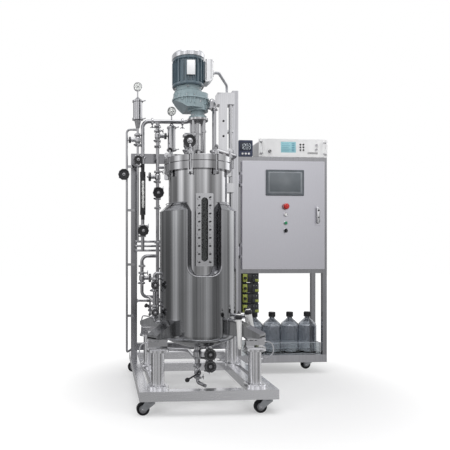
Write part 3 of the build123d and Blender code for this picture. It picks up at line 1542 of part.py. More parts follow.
right_x, right_y = front_right
left_x, left_y = front_left
clip_x = leg_d / 2 + clip_reach
with BuildPart() as right_load_cable:
    cord(
        [
            (right_x + gland_reach, right_y, cell_mid_z),
            (right_x + 88, right_y, cell_mid_z),
            (right_x + 104, right_y - 4, 330),
            (right_x + 97, right_y - 5, 298),
            (right_x + 71, right_y, 275),
            (right_x + clip_x, right_y, 275),
        ],
        cable_d,
    )
right_load_cable.part.label = "right_load_cable"

with BuildPart() as left_load_cable:
    cord(
        [
            (left_x - gland_reach, left_y, cell_mid_z),
            (left_x - 86, left_y, cell_mid_z),
            (left_x - 98, left_y - 3, 325),
            (left_x - 95, left_y - 5, 282),
            (left_x - 84, left_y - 5, 244),
            (left_x - 66, left_y, 219),
            (left_x - clip_x, left_y, 219),
        ],
        cable_d,
    )
left_load_cable.part.label = "left_load_cable"

# ---------------------------------------------------------------- export
pieces = [
    skid_frame,
    gantry_frame,
    cabinet_frame,
    *caster_forks,
    *caster_wheels,
    support_legs,
    load_cells,
    vessel_shell,
    vessel_jacket,
    sight_glass_frame,
    sight_glass,
    lid,
    clamp_bolts,
    agitator,
    drive_lantern,
    gearbox,
    motor_body,
    fan_cowl,
    terminal_box,
    motor_conduit,
    lift_mast,
    lift_carriage,
    valve_bodies,
    *handwheels,
    drain_lever,
    service_pipes,
    air_filters,
    pressure_gauges,
    rotameter,
    vapour_pipe,
    probe_sleeves,
    cabinet_body,
    mounting_plate,
    cabinet_door,
    door_handle,
    touch_panel,
    emergency_stop,
    *push_buttons,
    selector_knob,
    rack_instrument,
    display_unit,
    pump_stack,
    bottle_tray,
    bottles,
    bottle_caps,
    right_load_cable,
    left_load_cable,
]
os.makedirs("parts", exist_ok=True)
for piece in pieces:
    export_step(piece.part, f"parts/{piece.part.label}.step")
print(len(pieces), "pieces written")
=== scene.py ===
import bpy, bmesh, math
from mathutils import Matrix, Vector


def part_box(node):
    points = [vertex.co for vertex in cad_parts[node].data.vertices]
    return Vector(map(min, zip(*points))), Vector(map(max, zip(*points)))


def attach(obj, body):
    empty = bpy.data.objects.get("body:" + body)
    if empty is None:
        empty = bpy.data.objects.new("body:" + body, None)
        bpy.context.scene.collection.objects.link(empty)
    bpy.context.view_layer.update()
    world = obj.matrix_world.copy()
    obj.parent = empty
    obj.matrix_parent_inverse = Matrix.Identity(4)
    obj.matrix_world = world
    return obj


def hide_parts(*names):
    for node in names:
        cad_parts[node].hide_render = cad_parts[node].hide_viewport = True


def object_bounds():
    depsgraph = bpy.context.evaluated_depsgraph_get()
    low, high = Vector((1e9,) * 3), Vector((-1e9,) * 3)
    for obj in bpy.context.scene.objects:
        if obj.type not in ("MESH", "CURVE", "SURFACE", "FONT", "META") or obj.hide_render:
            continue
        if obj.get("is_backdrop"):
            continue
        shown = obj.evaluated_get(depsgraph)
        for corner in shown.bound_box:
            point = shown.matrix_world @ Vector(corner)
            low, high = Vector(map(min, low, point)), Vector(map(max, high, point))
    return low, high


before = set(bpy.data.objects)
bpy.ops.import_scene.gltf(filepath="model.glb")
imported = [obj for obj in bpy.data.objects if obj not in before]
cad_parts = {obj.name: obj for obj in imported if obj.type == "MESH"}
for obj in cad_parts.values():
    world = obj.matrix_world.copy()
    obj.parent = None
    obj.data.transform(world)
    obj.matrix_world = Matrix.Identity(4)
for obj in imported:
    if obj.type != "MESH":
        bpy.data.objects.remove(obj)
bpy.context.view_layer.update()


# ---- Floor, light and camera
# The plant stands on a seamless pale studio floor. A tall soft light stands at each side and two
# hang above; the walls of the room have bright and dim bands, which the polished steel mirrors.
def feed(made, inputs):
    """Feeds a node's inputs, by place or by name, with values or with what other nodes put out."""
    for socket, value in (inputs if isinstance(inputs, dict) else dict(enumerate(inputs))).items():
        if isinstance(value, bpy.types.Node):
            value = value.outputs[0]
        if isinstance(value, bpy.types.NodeSocket):
            made.id_data.links.new(value, made.inputs[socket])
        else:
            made.inputs[socket].default_value = value
    return made


def add(tree, kind, inputs=(), **settings):
    """New shader node with its settings and inputs."""
    made = tree.nodes.new("ShaderNode" + kind)
    for key, value in settings.items():
        setattr(made, key, value)
    return feed(made, inputs)


def ramp(tree, value, stops):
    """Colour from a ramp of (place, colour) stops."""
    made = add(tree, "ValToRGB", (value,))
    elements = made.color_ramp.elements
    while len(elements) < len(stops):
        elements.new(0.5)
    for element, (place, colour) in zip(elements, stops):
        element.position, element.color = place, (*colour, 1)
    return made


def world_room():
    world = bpy.data.worlds.new("room")
    world.use_nodes = True
    tree = world.node_tree
    tree.nodes.clear()
    ray = add(tree, "LightPath").outputs
    way = add(tree, "SeparateXYZ", (add(tree, "TexCoord").outputs["Generated"],)).outputs
    # Bands round the room: (degrees to the left or the right of the way the plant faces, level).
    left = [(0, 0.37), (8, 0.30), (20, 0.21), (26, 0.30), (31, 0.62), (37, 0.52), (50, 0.27), (62, 0.20), (69, 0.42),
            (76, 0.70), (83, 0.58), (91, 0.42), (99, 0.14), (118, 0.13), (130, 0.20), (146, 0.08), (160, 0.34),
            (180, 0.42)]
    right = [(162, 0.34), (150, 0.08), (134, 0.40), (118, 0.90), (104, 0.74), (94, 0.24), (84, 0.34), (70, 0.44),
             (55, 0.21), (42, 0.15), (30, 0.30), (23, 0.58), (15, 0.50), (9, 0.36)]
    stops = [(turned / 360, level) for turned, level in left] + [(1 - turned / 360, level) for turned, level in right]
    turned = add(tree, "Math", (way["X"], way["Y"]), operation="ARCTAN2")
    place = add(tree, "Math", (turned, 0.5 / math.pi, 0.5), operation="MULTIPLY_ADD")
    bands = ramp(tree, place, [(stop, (level, level, level * 1.01)) for stop, level in stops])
    # Overhead the room is evenly bright.
    height = add(tree, "MapRange", (way["Z"], 0.15, 0.75))
    blend = add(tree, "Mix", {0: height, "A": bands, "B": (0.26, 0.26, 0.27, 1)}, data_type="RGBA")
    # The walls brighten towards the ceiling, and matt surfaces see less of them than polished ones.
    low = add(tree, "MapRange", (way["Z"], -0.5, 0.0, 0.70, 1.15))
    high = add(tree, "MapRange", (way["Z"], 0.0, 0.22, 0.0, 1.25))
    rise = add(tree, "Math", (low, high), operation="ADD")
    level = add(tree, "Mix", {"Factor": ray["Is Diffuse Ray"], "A": rise, "B": 0.60})
    room = add(tree, "Background", {"Color": blend.outputs["Result"], "Strength": level})
    white = add(tree, "Background", {"Color": (1, 1, 1, 1)})
    seen = add(tree, "Math", (ray["Is Camera Ray"], ray["Is Transmission Ray"]), operation="MAXIMUM")
    add(tree, "OutputWorld", (add(tree, "MixShader", (seen, room, white)),))
    bpy.context.scene.world = world


def soft_light(name, place, aim, width, height, power, mirrored=True):
    lamp = bpy.data.lights.new(name, "AREA")
    lamp.shape, lamp.size, lamp.size_y, lamp.energy = "RECTANGLE", width, height, power
    obj = bpy.data.objects.new(name, lamp)
    obj.location, obj.visible_glossy = place, mirrored
    obj.rotation_euler = (Vector(aim) - Vector(place)).to_track_quat("-Z", "Y").to_euler()
    bpy.context.scene.collection.objects.link(obj)


def studio_floor():
    mesh = bpy.data.meshes.new("studio_floor")
    reach = 14.0
    corners = [(-reach, -reach, 0), (reach, -reach, 0), (reach, reach, 0), (-reach, reach, 0)]
    mesh.from_pydata(corners, [], [(0, 1, 2, 3)])
    floor = bpy.data.objects.new("studio_floor", mesh)
    bpy.context.scene.collection.objects.link(floor)
    pale = bpy.data.materials.new("pale_floor")
    pale.use_nodes = True
    tree = pale.node_tree
    tree.nodes.clear()
    ray = add(tree, "LightPath").outputs
    # Less light comes back up from the paper than a bare white floor would give.
    papers = {"A": (0.93, 0.93, 0.935, 1), "B": (0.40, 0.40, 0.41, 1)}
    paper = add(tree, "Mix", {0: ray["Is Diffuse Ray"], **papers}, data_type="RGBA")
    matt = add(tree, "BsdfDiffuse", {"Color": paper.outputs["Result"]})
    glow = add(tree, "Emission", {"Strength": 1.12})
    # The paper is whiter with distance from the plant, so it has no edge against the room.
    away = add(tree, "VectorMath", (add(tree, "TexCoord").outputs["Object"],), operation="LENGTH")
    fade = add(tree, "MapRange", (away.outputs["Value"], 0.45, 1.55, 0.30, 1.0), interpolation_type="SMOOTHERSTEP")
    share = add(tree, "Math", (ray["Is Camera Ray"], fade), operation="MULTIPLY")
    sheet = add(tree, "MixShader", (share, matt, glow))
    # Polished steel mirrors the room's bands below the floor line too.
    rays = (ray["Is Glossy Ray"], ray["Is Transmission Ray"])
    mirror = add(tree, "Math", rays, operation="SUBTRACT", use_clamp=True)
    open_floor = add(tree, "MixShader", (mirror, sheet, add(tree, "BsdfTransparent")))
    add(tree, "OutputMaterial", (open_floor,))
    mesh.materials.append(pale)
    floor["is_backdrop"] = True


world_room()
studio_floor()
soft_light("left_soft", (-3.4, -2.6, 2.1), (-0.2, 0, 0.9), 1.4, 3.0, 60, False)
soft_light("right_soft", (3.2, -2.9, 1.9), (0.2, 0, 0.9), 1.2, 2.8, 48, False)
soft_light("top_soft", (0.2, -1.0, 4.4), (0, 0, 0.8), 3.4, 2.6, 50)
soft_light("ceiling_glow", (-0.6, -1.6, 4.2), (-0.2, 0, 1.0), 3.0, 2.4, 45, False)

camera = bpy.data.objects.new("camera", bpy.data.cameras.new("camera"))
camera.data.sensor_width, camera.data.lens = 36.0, 39.6
camera.data.shift_x, camera.data.shift_y = 0.19, 0.06
camera.data.clip_end = 60
camera.location = (-0.812, -3.020, 0.843)
camera.rotation_euler = (math.radians(90), 0, math.radians(-4.05))
bpy.context.scene.collection.objects.link(camera)
bpy.context.scene.camera = camera
bpy.context.scene.view_settings.view_transform = "Standard"


# ---- Skid
# Square stainless tube, welded and ground, with the five casters bolted to corner plates.
# The tube keeps the fine lengthwise grain of its belt-polished finish.
def fresh(name):
    """New material: itself, its nodes, its shader, and the piece's own coordinates."""
    made = bpy.data.materials.new(name)
    made.use_nodes = True
    tree = made.node_tree
    return made, tree, tree.nodes["Principled BSDF"], add(tree, "TexCoord").outputs["Object"]


def tones(tree, value, tone, spread, start, end):
    """Colour from a darker to a lighter tone, as a value goes from start to end."""
    darker, lighter = [c * (1 - spread) for c in tone], [min(1, c * (1 + spread)) for c in tone]
    return ramp(tree, value, [(start, darker), (end, lighter)])


def steel(name, tone, rough, grain=(1, 1, 1), scale=60.0, grain_depth=0.02, smear=0.25, spread=0.08):
    """Stainless steel: grain stretched along one direction, with faint wiping marks."""
    made, tree, shader, place = fresh(name)
    stretched = add(tree, "Mapping", {0: place, "Scale": grain})
    lines = add(tree, "TexNoise", {"Vector": stretched, "Scale": scale, "Detail": 5})
    smears = add(tree, "TexNoise", {"Vector": place, "Scale": 7, "Detail": 4})
    both = add(tree, "Math", (smears, smear, lines), operation="MULTIPLY_ADD")
    feed(shader, {"Base Color": tones(tree, both, tone, spread, 0.35, 0.85), "Metallic": 1.0,
                  "Roughness": add(tree, "MapRange", (both, 0.35, 0.9, rough * 0.8, rough * 1.25)),
                  "Normal": add(tree, "Bump", {"Strength": grain_depth, "Distance": 0.002, "Height": lines})})
    return made


def paint_light_zone(material, level, gain, middle=(0.0, 0.0), reach=-1.0):
    """Paints light and shade into a steel: scales its tone under a level, farther than reach from an upright axis; a
    gain over one is painted light, a gain under one is painted shade.
    """
    tree = material.node_tree
    shader = tree.nodes["Principled BSDF"]
    tone = shader.inputs["Base Color"].links[0].from_socket
    place = add(tree, "SeparateXYZ", (add(tree, "NewGeometry").outputs["Position"],)).outputs
    flat = add(tree, "CombineXYZ", (place["X"], place["Y"]))
    away = add(tree, "VectorMath", (flat, (*middle, 0)), operation="DISTANCE")
    outside = add(tree, "Math", (away.outputs["Value"], reach), operation="GREATER_THAN")
    under = add(tree, "Math", (place["Z"], level), operation="LESS_THAN")
    mask = add(tree, "Math", (outside, under), operation="MULTIPLY")
    gained = add(tree, "Math", (mask, gain - 1, 1.0), operation="MULTIPLY_ADD")
    feed(shader, {"Base Color": add(tree, "VectorMath", {0: tone, "Scale": gained}, operation="SCALE")})


def finish(material, *nodes):
    """Gives CAD nodes their material."""
    for name in nodes:
        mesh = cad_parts[name].data
        mesh.materials.clear()
        mesh.materials.append(material)


finish(steel("skid_steel", (0.84, 0.84, 0.86), 0.24, (0.4, 14, 14), 24, 0.01, 0.25, 0.05), "skid_frame")


# ---- Casters
# Pressed zinc-plated swivel forks with rubber-tyred wheels, each on a plate held by four hex
# screws. A domed nut closes both ends of every axle.
def skin(bm, rings):
    """Faces between neighbouring rings; a ring of one vertex draws them to a point."""
    for low, high in zip(rings, rings[1:]):
        steps = max(len(low), len(high))
        for k in range(steps):
            n = (k + 1) % steps
            loop = []
            for corner in (low[k % len(low)], low[n % len(low)], high[n % len(high)], high[k % len(high)]):
                if corner not in loop:
                    loop.append(corner)
            if len(loop) > 2:
                bm.faces.new(loop)


def angles(count, first=0.0):
    """Even steps round a circle, from a first angle in degrees."""
    return [math.radians(first) + 2 * math.pi * k / count for k in range(count)]


def turn(bm, outline, at, along, steps=24):
    """Turns a (radius, height) outline about a line."""
    basis, at = Vector(along).to_track_quat("Z", "Y").to_matrix(), Vector(at)
    rings = []
    for r, h in outline:
        spokes = angles(steps) if r > 1e-6 else [0]
        rings.append([bm.verts.new(at + basis @ Vector((r * math.cos(a), r * math.sin(a), h))) for a in spokes])
    skin(bm, rings)


def solid(bm, outline, at, along, steps=24):
    """Turned outline whose two ends are flat faces."""
    turn(bm, [(0, outline[0][1]), *outline, (0, outline[-1][1])], at, along, steps)


def peg(bm, r, start, end, at, along, steps=24):
    """Plain round peg between two heights."""
    solid(bm, [(r, start), (r, end)], at, along, steps)


def stud(bm, r, crown, shoulder, height, at, along, steps=24):
    """Low round head, narrower at its crown."""
    turn(bm, [(0, 0), (r, 0), (crown, shoulder), (0, height)], at, along, steps)


def slab(bm, lo, hi, paint=0, soften=0.0):
    """Rectangular block with softened edges."""
    verts = [bm.verts.new((x, y, z)) for x in (lo[0], hi[0]) for y in (lo[1], hi[1]) for z in (lo[2], hi[2])]
    faces = [bm.faces.new([verts[i] for i in loop]) for loop in
             ((0, 1, 3, 2), (4, 6, 7, 5), (0, 4, 5, 1), (2, 3, 7, 6), (0, 2, 6, 4), (1, 5, 7, 3))]
    for face in faces:
        face.material_index = paint
    if soften:
        edges = list(dict.fromkeys(e for f in faces for e in f.edges))
        made = bmesh.ops.bevel(bm, geom=edges, offset=soften, segments=2, affect="EDGES", profile=0.5)
        for face in made["faces"]:
            face.material_index = paint


def piece(name, bm, materials, body="plant"):
    """Finished piece: closed outward faces, smooth but for its hard edges, riding on a body."""
    bmesh.ops.recalc_face_normals(bm, faces=bm.faces)
    mesh = bpy.data.meshes.new(name)
    bm.to_mesh(mesh)
    bm.free()
    for material in materials if isinstance(materials, list) else [materials]:
        mesh.materials.append(material)
    mesh.shade_smooth()
    mesh.set_sharp_from_angle(angle=math.radians(38))
    obj = bpy.data.objects.new(name, mesh)
    bpy.context.scene.collection.objects.link(obj)
    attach(obj, body)
    return obj


def moulded(name, colour, rough, grain=900.0, grain_depth=0.05, uneven=0.12, gloss=0.0, rubber=False):
    """Moulded plastic or rubber: fine surface grain and slightly uneven colour."""
    made, tree, shader, place = fresh(name)
    fine = add(tree, "TexNoise", {"Vector": place, "Scale": grain})
    broad = add(tree, "TexNoise", {"Vector": place, "Scale": 22, "Detail": 4})
    feed(shader, {"Base Color": tones(tree, broad, colour, uneven, 0.3, 0.75),
                  "Roughness": add(tree, "MapRange", (broad, 0, 1, rough * 0.85, min(1, rough * 1.2))),
                  "Normal": add(tree, "Bump", {"Strength": grain_depth, "Distance": 0.0006, "Height": fine}),
                  "Coat Weight": gloss, "Specular IOR Level": 0.25 if rubber else 0.5})
    return made


def screws(bm, spots, along, across, height):
    """Hex screw heads with a chamfered crown, set on a face."""
    r = across / 2 / math.cos(math.pi / 6)
    for spot in spots:
        solid(bm, [(r, 0), (r, height * 0.75), (r * 0.82, height)], spot, along, 6)


def hardware(name, bm, body="plant"):
    """Finished piece of bright turned steel."""
    piece(name, bm, bright, body)


zinc = steel("zinc_plate", (0.42, 0.43, 0.45), 0.34, (1, 1, 1), 45, 0.03, 0.5, 0.14)
tread = moulded("tread_rubber", (0.022, 0.022, 0.025), 0.62, 500, 0.12, 0.2, 0.0, True)
bright = steel("turned_steel", (0.56, 0.56, 0.575), 0.15, (1, 1, 1), 160, 0.012)
core_grey = moulded("caster_core_grey", (0.2, 0.2, 0.21), 0.4)
for number in range(1, 6):
    wheel, fork = f"caster_wheel_{number}", f"caster_fork_{number}"
    finish(tread, wheel)
    finish(zinc, fork)
    lo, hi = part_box(wheel)
    centre, radius, half = (lo + hi) / 2, (hi.z - lo.z) / 2, (hi.y - lo.y) / 2
    core = [(0.007, half - 0.0005), (radius * 0.6, half - 0.0005), (radius * 0.62, half + 0.0004),
            (radius * 0.5, half + 0.0012), (radius * 0.3, half + 0.0004), (0.0085, half + 0.0016),
            (0.007, half + 0.0016), (0.007, half - 0.0005)]
    cores, nuts = bmesh.new(), bmesh.new()
    for side in (-1, 1):
        turn(cores, core, centre, (0, side, 0), 32)
        spot = (centre.x, centre.y + side * (half + 0.0052), centre.z)
        turn(nuts, [(0, 0), (0.0066, 0), (0.0066, 0.003), (0.005, 0.0045), (0, 0.0052)], spot, (0, side, 0), 6)
    piece(f"caster_core_{number}", cores, core_grey, f"caster_{number}_wheel")
    hardware(f"caster_nuts_{number}", nuts, f"caster_{number}_fork")


# ---- Pipe gantry and cabinet stand
# Two portal frames of square tube: one carries the pipe columns and the lid hoist, the other
# the control cabinet. Both are brushed; painted light brightens the gantry's right post and the stand's foot.
brushed = ((0.32, 0.32, 0.333), 0.2, (12, 12, 0.08), 20, 0.02, 0.3, 0.2)
upright_steel, gantry_steel = steel("upright_steel", *brushed), steel("gantry_steel", *brushed)
left_post, any_level, foot_level = (-0.615, 0.285), 9.0, 0.134
# Painted light: the gantry's steel is brighter away from its left post, and the stand's steel below its foot level.
paint_light_zone(gantry_steel, any_level, 1.7, left_post, 0.664)
paint_light_zone(upright_steel, foot_level, 1.6)
finish(gantry_steel, "gantry_frame")
finish(upright_steel, "cabinet_frame")


# ---- Legs and load cells
# Three-inch polished tube with a welded flange at each end; the lower flange takes four screws
# into the skid, and a shear-beam load cell sits on the upper one.
def ringed(x, y, z, r, count, first=0):
    """Spots evenly round an upright line, from a first angle in degrees."""
    return [(x + r * math.cos(a), y + r * math.sin(a), z) for a in angles(count, first)]


up, front, rear = Vector((0, 0, 1)), Vector((0, -1, 0)), Vector((0, 1, 0))
left, right = Vector((-1, 0, 0)), Vector((1, 0, 0))
vessel_x, vessel_y = -0.273, -0.180
polished = steel("polished_tube", (0.46, 0.46, 0.475), 0.07, (1, 1, 1), 25, 0.01, 0.4, 0.06)
finish(steel("leg_tube", (0.86, 0.86, 0.88), 0.24, (6, 6, 0.06), 16, 0.01, 0.3, 0.08), "support_legs")
finish(bright, "load_cells")
bm = bmesh.new()
for x, y in [(vessel_x + i * 0.260, vessel_y + j * 0.250) for i in (-1, 1) for j in (-1, 1)]:
    screws(bm, ringed(x, y, 0.144, 0.047, 4, 45), up, 0.010, 0.005)
    # Weld bead where the tube meets its flange.
    bead = [(0.0345, 0.1435), (0.0385, 0.144), (0.0382, 0.1465), (0.0366, 0.1485), (0.0345, 0.149)]
    turn(bm, bead, (x, y, 0), up, 32)
    screws(bm, [(x - 0.034, y, 0.388), (x + 0.034, y, 0.388)], up, 0.013, 0.004)
hardware("leg_screws", bm)


# ---- Jacket and vessel
# The jacket is rolled sheet over insulation, buffed to a soft mirror; the shell inside it is
# brighter, and both are seam-welded and ground flush.
def around(a, x, y):
    """Way out from a centre, at an angle from x towards y."""
    return x * math.cos(a) + y * math.sin(a)


def strand(bm, points, r, steps=10):
    """Round strand through points."""
    points = [Vector(p) for p in points]
    side, rings = None, []
    for k, p in enumerate(points):
        along = (points[min(k + 1, len(points) - 1)] - points[max(k - 1, 0)]).normalized()
        side = side or along.orthogonal().normalized()
        side = (side - along * side.dot(along)).normalized()
        over = along.cross(side)
        rings.append([bm.verts.new(p + around(a, side, over) * r) for a in angles(steps)])
    skin(bm, rings)
    bm.faces.new(rings[0][::-1])
    bm.faces.new(rings[-1])


def on_jacket(x, z, r=0.2185):
    """Spot on the front of the jacket's wall."""
    return Vector((vessel_x + x, vessel_y - math.sqrt(r * r - x * x), z))


jacket_steel = steel("jacket_steel", (0.385, 0.39, 0.40), 0.14, (6, 6, 0.06), 16, 0.02, 0.2, 0.22)
vessel_steel = steel("vessel_steel", (0.50, 0.50, 0.51), 0.11, (6, 6, 0.06), 16, 0.015, 0.2, 0.14)
# Painted shade: the brackets over the load cells are darkened, below a level and outside the jacket's wall.
paint_light_zone(jacket_steel, 0.478, 0.66, (vessel_x, vessel_y), 0.222)
finish(jacket_steel, "vessel_jacket")
finish(vessel_steel, "vessel_shell")
# Rolled lip of the U-shaped cut in the jacket, and the welds at both edges of its shoulder.
half, corner, foot = 0.095, 0.060, 0.710
rim = [(half, 1.072 - 0.012 * k) for k in range(25)]
rim += [(half - corner * (1 - math.cos(a)), foot + corner * (1 - math.sin(a))) for a in
        [math.radians(9 * k) for k in range(11)]]
rim += [(-x, z) for x, z in reversed(rim)]
bm = bmesh.new()
strand(bm, [on_jacket(x, z) for x, z in rim], 0.0042, 12)
for r, z, thick in ((0.1835, 1.1185, 0.0022), (0.2190, 1.0722, 0.0016)):
    edge = math.degrees(math.asin(half / r)) + 0.8
    arc = [math.radians(edge - 90 + (360 - 2 * edge) * k / 90) for k in range(91)]
    strand(bm, [(vessel_x + r * math.cos(a), vessel_y + r * math.sin(a), z) for a in arc], thick, 8)
piece("jacket_lip", bm, polished)


# ---- Sight glass
# A thick strip of toughened glass held by a frame with two rows of socket screws; the dark
# inside of the vessel shows in it.
def clear(name, tint, rough=0.02, ior=1.47):
    """Glass or acrylic, lightly tinted, with faint unevenness in its polish."""
    made, tree, shader, place = fresh(name)
    cloud = add(tree, "TexNoise", {"Vector": place, "Scale": 18})
    feed(shader, {"Roughness": add(tree, "MapRange", (cloud, 0, 1, rough, rough * 2.2 + 0.01)),
                  "Base Color": (*tint, 1), "Transmission Weight": 1.0, "IOR": ior})
    return made


finish(clear("sight_glass_clear", (0.75, 0.8, 0.8)), "sight_glass")
finish(bright, "sight_glass_frame")
lo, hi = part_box("sight_glass_frame")
bm = bmesh.new()
for x in ((lo.x + hi.x) / 2 - 0.030, (lo.x + hi.x) / 2 + 0.030):
    for k in range(9):
        spot = (x, lo.y, lo.z + 0.022 + (hi.z - lo.z - 0.044) * k / 8)
        turn(bm, [(0.0026, 0.0045), (0.0026, 0.002), (0, 0.002)], spot, front, 6)
        turn(bm, [(0, 0), (0.0047, 0), (0.0047, 0.004), (0.0041, 0.0046), (0.0026, 0.0046)], spot, front, 16)
blued = steel("blued_screw", (0.07, 0.07, 0.075), 0.36, (1, 1, 1), 160, 0.012)
piece("sight_glass_screws", bm, blued)


# ---- Lid
# Spun lid on a flat flange with eight swing bolts, whose nuts draw it down on its gasket. It is
# polished like the shell, and each of its ports ends in a clamp ferrule.
finish(vessel_steel, "lid")
finish(bright, "clamp_bolts")


# ---- Agitator and drive
# Stainless shaft with two turbine rings, turned by a grey-green geared motor on a lantern. The
# cast gear case is split at a screwed rim; the terminal box is a white casting with its own lid.
def enamel(name, colour, rough=0.3, gloss=0.35):
    """Sprayed enamel over a casting: faint orange peel under a thin gloss."""
    return moulded(name, colour, rough, 260, 0.16, 0.1, gloss)


finish(vessel_steel, "agitator", "drive_lantern")
gear_green = enamel("gear_green", (0.31, 0.395, 0.42))
finish(gear_green, "gearbox")
finish(enamel("motor_blue", (0.095, 0.14, 0.17), 0.2, 1.0), "motor_body")
finish(steel("cowl_sheet", (0.80, 0.81, 0.83), 0.2, (8, 8, 0.1), 16, 0.02, 0.3, 0.2), "fan_cowl")
finish(moulded("box_casting", (0.88, 0.885, 0.90), 0.3, 260, 0.12, 0.04, 0.4), "terminal_box")
motor_x, motor_r, pinion_r = -0.329, 0.086, 0.060


def case_line(grow, first=-180, last=180, step=5):
    """Outline of the gear case, grown: two circles and the lines that touch both."""
    touch = math.degrees(math.acos((motor_r - pinion_r) / (vessel_x - motor_x)))
    points = []
    for a in range(first, last, step):
        x, r = (vessel_x, pinion_r) if abs(a) < touch else (motor_x, motor_r)
        way = around(math.radians(a), right, rear)
        points.append((Vector((x, vessel_y, 0)) + way * (r + grow), way))
    return points


# Screwed rim of the split case, with the stiffening ribs under it, and the motor's flange rings.
rim_foot, rim_top = 1.7165, 1.7255
bm = bmesh.new()
rings = [[bm.verts.new((p.x, p.y, z)) for p, way in case_line(grow)] for grow, z in
         ((-0.003, rim_foot), (0.0058, rim_foot), (0.0066, rim_foot + 0.001), (0.0066, rim_top - 0.001),
          (0.0058, rim_top), (-0.003, rim_top))]
skin(bm, rings + rings[:1])
for p, way in case_line(0.0, -150, 60, 15):
    foot = 1.684 if p.x > -0.352 else 1.702 if p.x > -0.385 else 0
    if foot:
        across = Vector((-way.y, way.x, 0)) * 0.0026
        rings = [[bm.verts.new(p + way * s + across * t + up * z) for s, t in
                  ((-0.003, -1), (0.0048, -1), (0.0048, 1), (-0.003, 1))] for z in (foot, rim_foot + 0.0005)]
        bm.faces.new(rings[0][::-1])
        bm.faces.new(rings[1])
        skin(bm, rings)
for r, z, tall in ((0.0785, 1.7625, 0.0036), (0.0757, 1.7835, 0.0050)):
    turn(bm, [(r - 0.006, z), (r + 0.0008, z), (r + 0.0018, z + 0.001), (r + 0.0018, z + tall),
              (r + 0.0008, z + tall + 0.001), (r - 0.006, z + tall + 0.001), (r - 0.006, z)],
         (motor_x, vessel_y, 0), up, 72)
bmesh.ops.remove_doubles(bm, verts=bm.verts, dist=1e-6)
piece("gear_rim", bm, gear_green)
# Rim screws, flange screws between gearbox and motor, the front plug, and the lantern's screws.
bm = bmesh.new()
screws(bm, [(p.x, p.y, rim_top) for p, way in case_line(0.0032, -165, 165, 30)], up, 0.0066, 0.005)
screws(bm, ringed(motor_x, vessel_y, 1.779, 0.0835, 6, 20), -up, 0.010, 0.006)
screws(bm, [(vessel_x, -0.2405, 1.700)], front, 0.016, 0.006)
screws(bm, ringed(vessel_x, vessel_y, 1.626, 0.044, 4, 45), up, 0.012, 0.007)
hardware("gear_screws", bm)
# Blank data plate on the motor's front pad, pinned at its corners.
pad_front = vessel_y - 0.0956
bm = bmesh.new()
slab(bm, (motor_x - 0.0225, pad_front, 1.838), (motor_x + 0.0245, pad_front + 0.0018, 1.920), 0, 0.0006)
for dx in (-0.0195, 0.0215):
    for z in (1.8415, 1.9165):
        stud(bm, 0.0017, 0.0013, 0.0009, 0.0011, (motor_x + dx, pad_front, z), front, 10)
piece("motor_plate", bm, moulded("plate_white", (0.93, 0.94, 0.95), 0.3, 500, 0.03, 0.03, 0.4))
# Gaskets and the four lid screws of the terminal box.
lo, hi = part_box("terminal_box")
bm = bmesh.new()
for x, wide, foot in ((motor_x + 0.0950, 0.0030, 1.8268), (motor_x + 0.1240, 0.0016, 1.8350)):
    slab(bm, (x, lo.y - 0.0007, foot), (x + wide, hi.y + 0.0007, hi.z + 0.0007))
gasket = moulded("gasket_black", (0.012, 0.012, 0.014), 0.6, 500, 0.05, 0.1, 0.0, True)
piece("terminal_gaskets", bm, gasket)
bm = bmesh.new()
for y in (-0.219, -0.141):
    for z in (1.852, 1.934):
        spot = (motor_x + 0.138, y, z)
        turn(bm, [(0, 0), (0.0042, 0), (0.004, 0.002), (0.003, 0.0028), (0, 0.003)], spot, right, 14)
hardware("terminal_screws", bm)


# ---- Motor conduit
# Grey plastic conduit that guards the motor's cable, bent from a gland on the terminal box into
# the top of the hoist mast.
finish(moulded("conduit_grey", (0.52, 0.53, 0.56), 0.4), "motor_conduit")


# ---- Lid hoist
# Folded channel with a row of height holes, each holding a dark turned piece that is painted shade. The guide rod and
# clevis of the lid's carriage are turned from bright bar.
finish(steel("mast_sheet", (0.66, 0.66, 0.675), 0.22, (12, 12, 0.08), 20, 0.02, 0.3, 0.16), "lift_mast")
finish(bright, "lift_carriage")
mast_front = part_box("lift_mast")[0].y
# Painted shade: a dark stand-in for the inside of each height hole.
bm = bmesh.new()
for k in range(4):
    solid(bm, [(0.0073, -0.006), (0.0073, 0.0012), (0.0060, 0.0020), (0.0036, 0.0020), (0.0036, -0.003)],
          (-0.025, mast_front, 1.4115 + 0.1 * k), front, 20)
piece("mast_hole_shade", bm, blued)


# ---- Hand valves
# Forged bodies with black moulded wheels, each held on its stem by a bright domed nut on a
# spring washer. The bodies are clamped or welded into the pipes.
def handwheel(bm, centre, along, radius, hole=0.0, grow=0.0):
    """Moulded wheel with ten finger scallops and a dished face."""
    z, x = Vector(along), Vector((0, 0, -1))
    y = z.cross(x)
    steps, dip, dip_width = 60, 0.0026, 0.0034
    levels = [(hole, -grow), (radius - 0.002, -grow), (radius, 0.002 - grow), (radius, 0.012 + grow),
              (radius - 0.0018, 0.014 + grow), (radius - 0.008, 0.014 + grow), (radius - 0.0105, 0.0102),
              (0.0125, 0.0098), (0.0105, 0.014 + grow), (hole, 0.014 + grow)]
    rings = []
    for r, h in levels + levels[:1] * bool(hole):
        ring = []
        for k in range(steps if r > 1e-6 else 1):
            a = 2 * math.pi * k / steps
            rr = r + (grow if r > radius - 0.003 else 0)
            if r > radius - 0.009:
                off = ((k + 3) % 6 - 3) * 2 * math.pi / steps * radius
                rr -= dip * math.exp(-((off / dip_width) ** 2))
            ring.append(bm.verts.new(Vector(centre) + z * h + around(a, x, y) * rr))
        rings.append(ring)
    skin(bm, rings)
    if hole:
        bmesh.ops.remove_doubles(bm, verts=rings[0] + rings[-1], dist=1e-6)


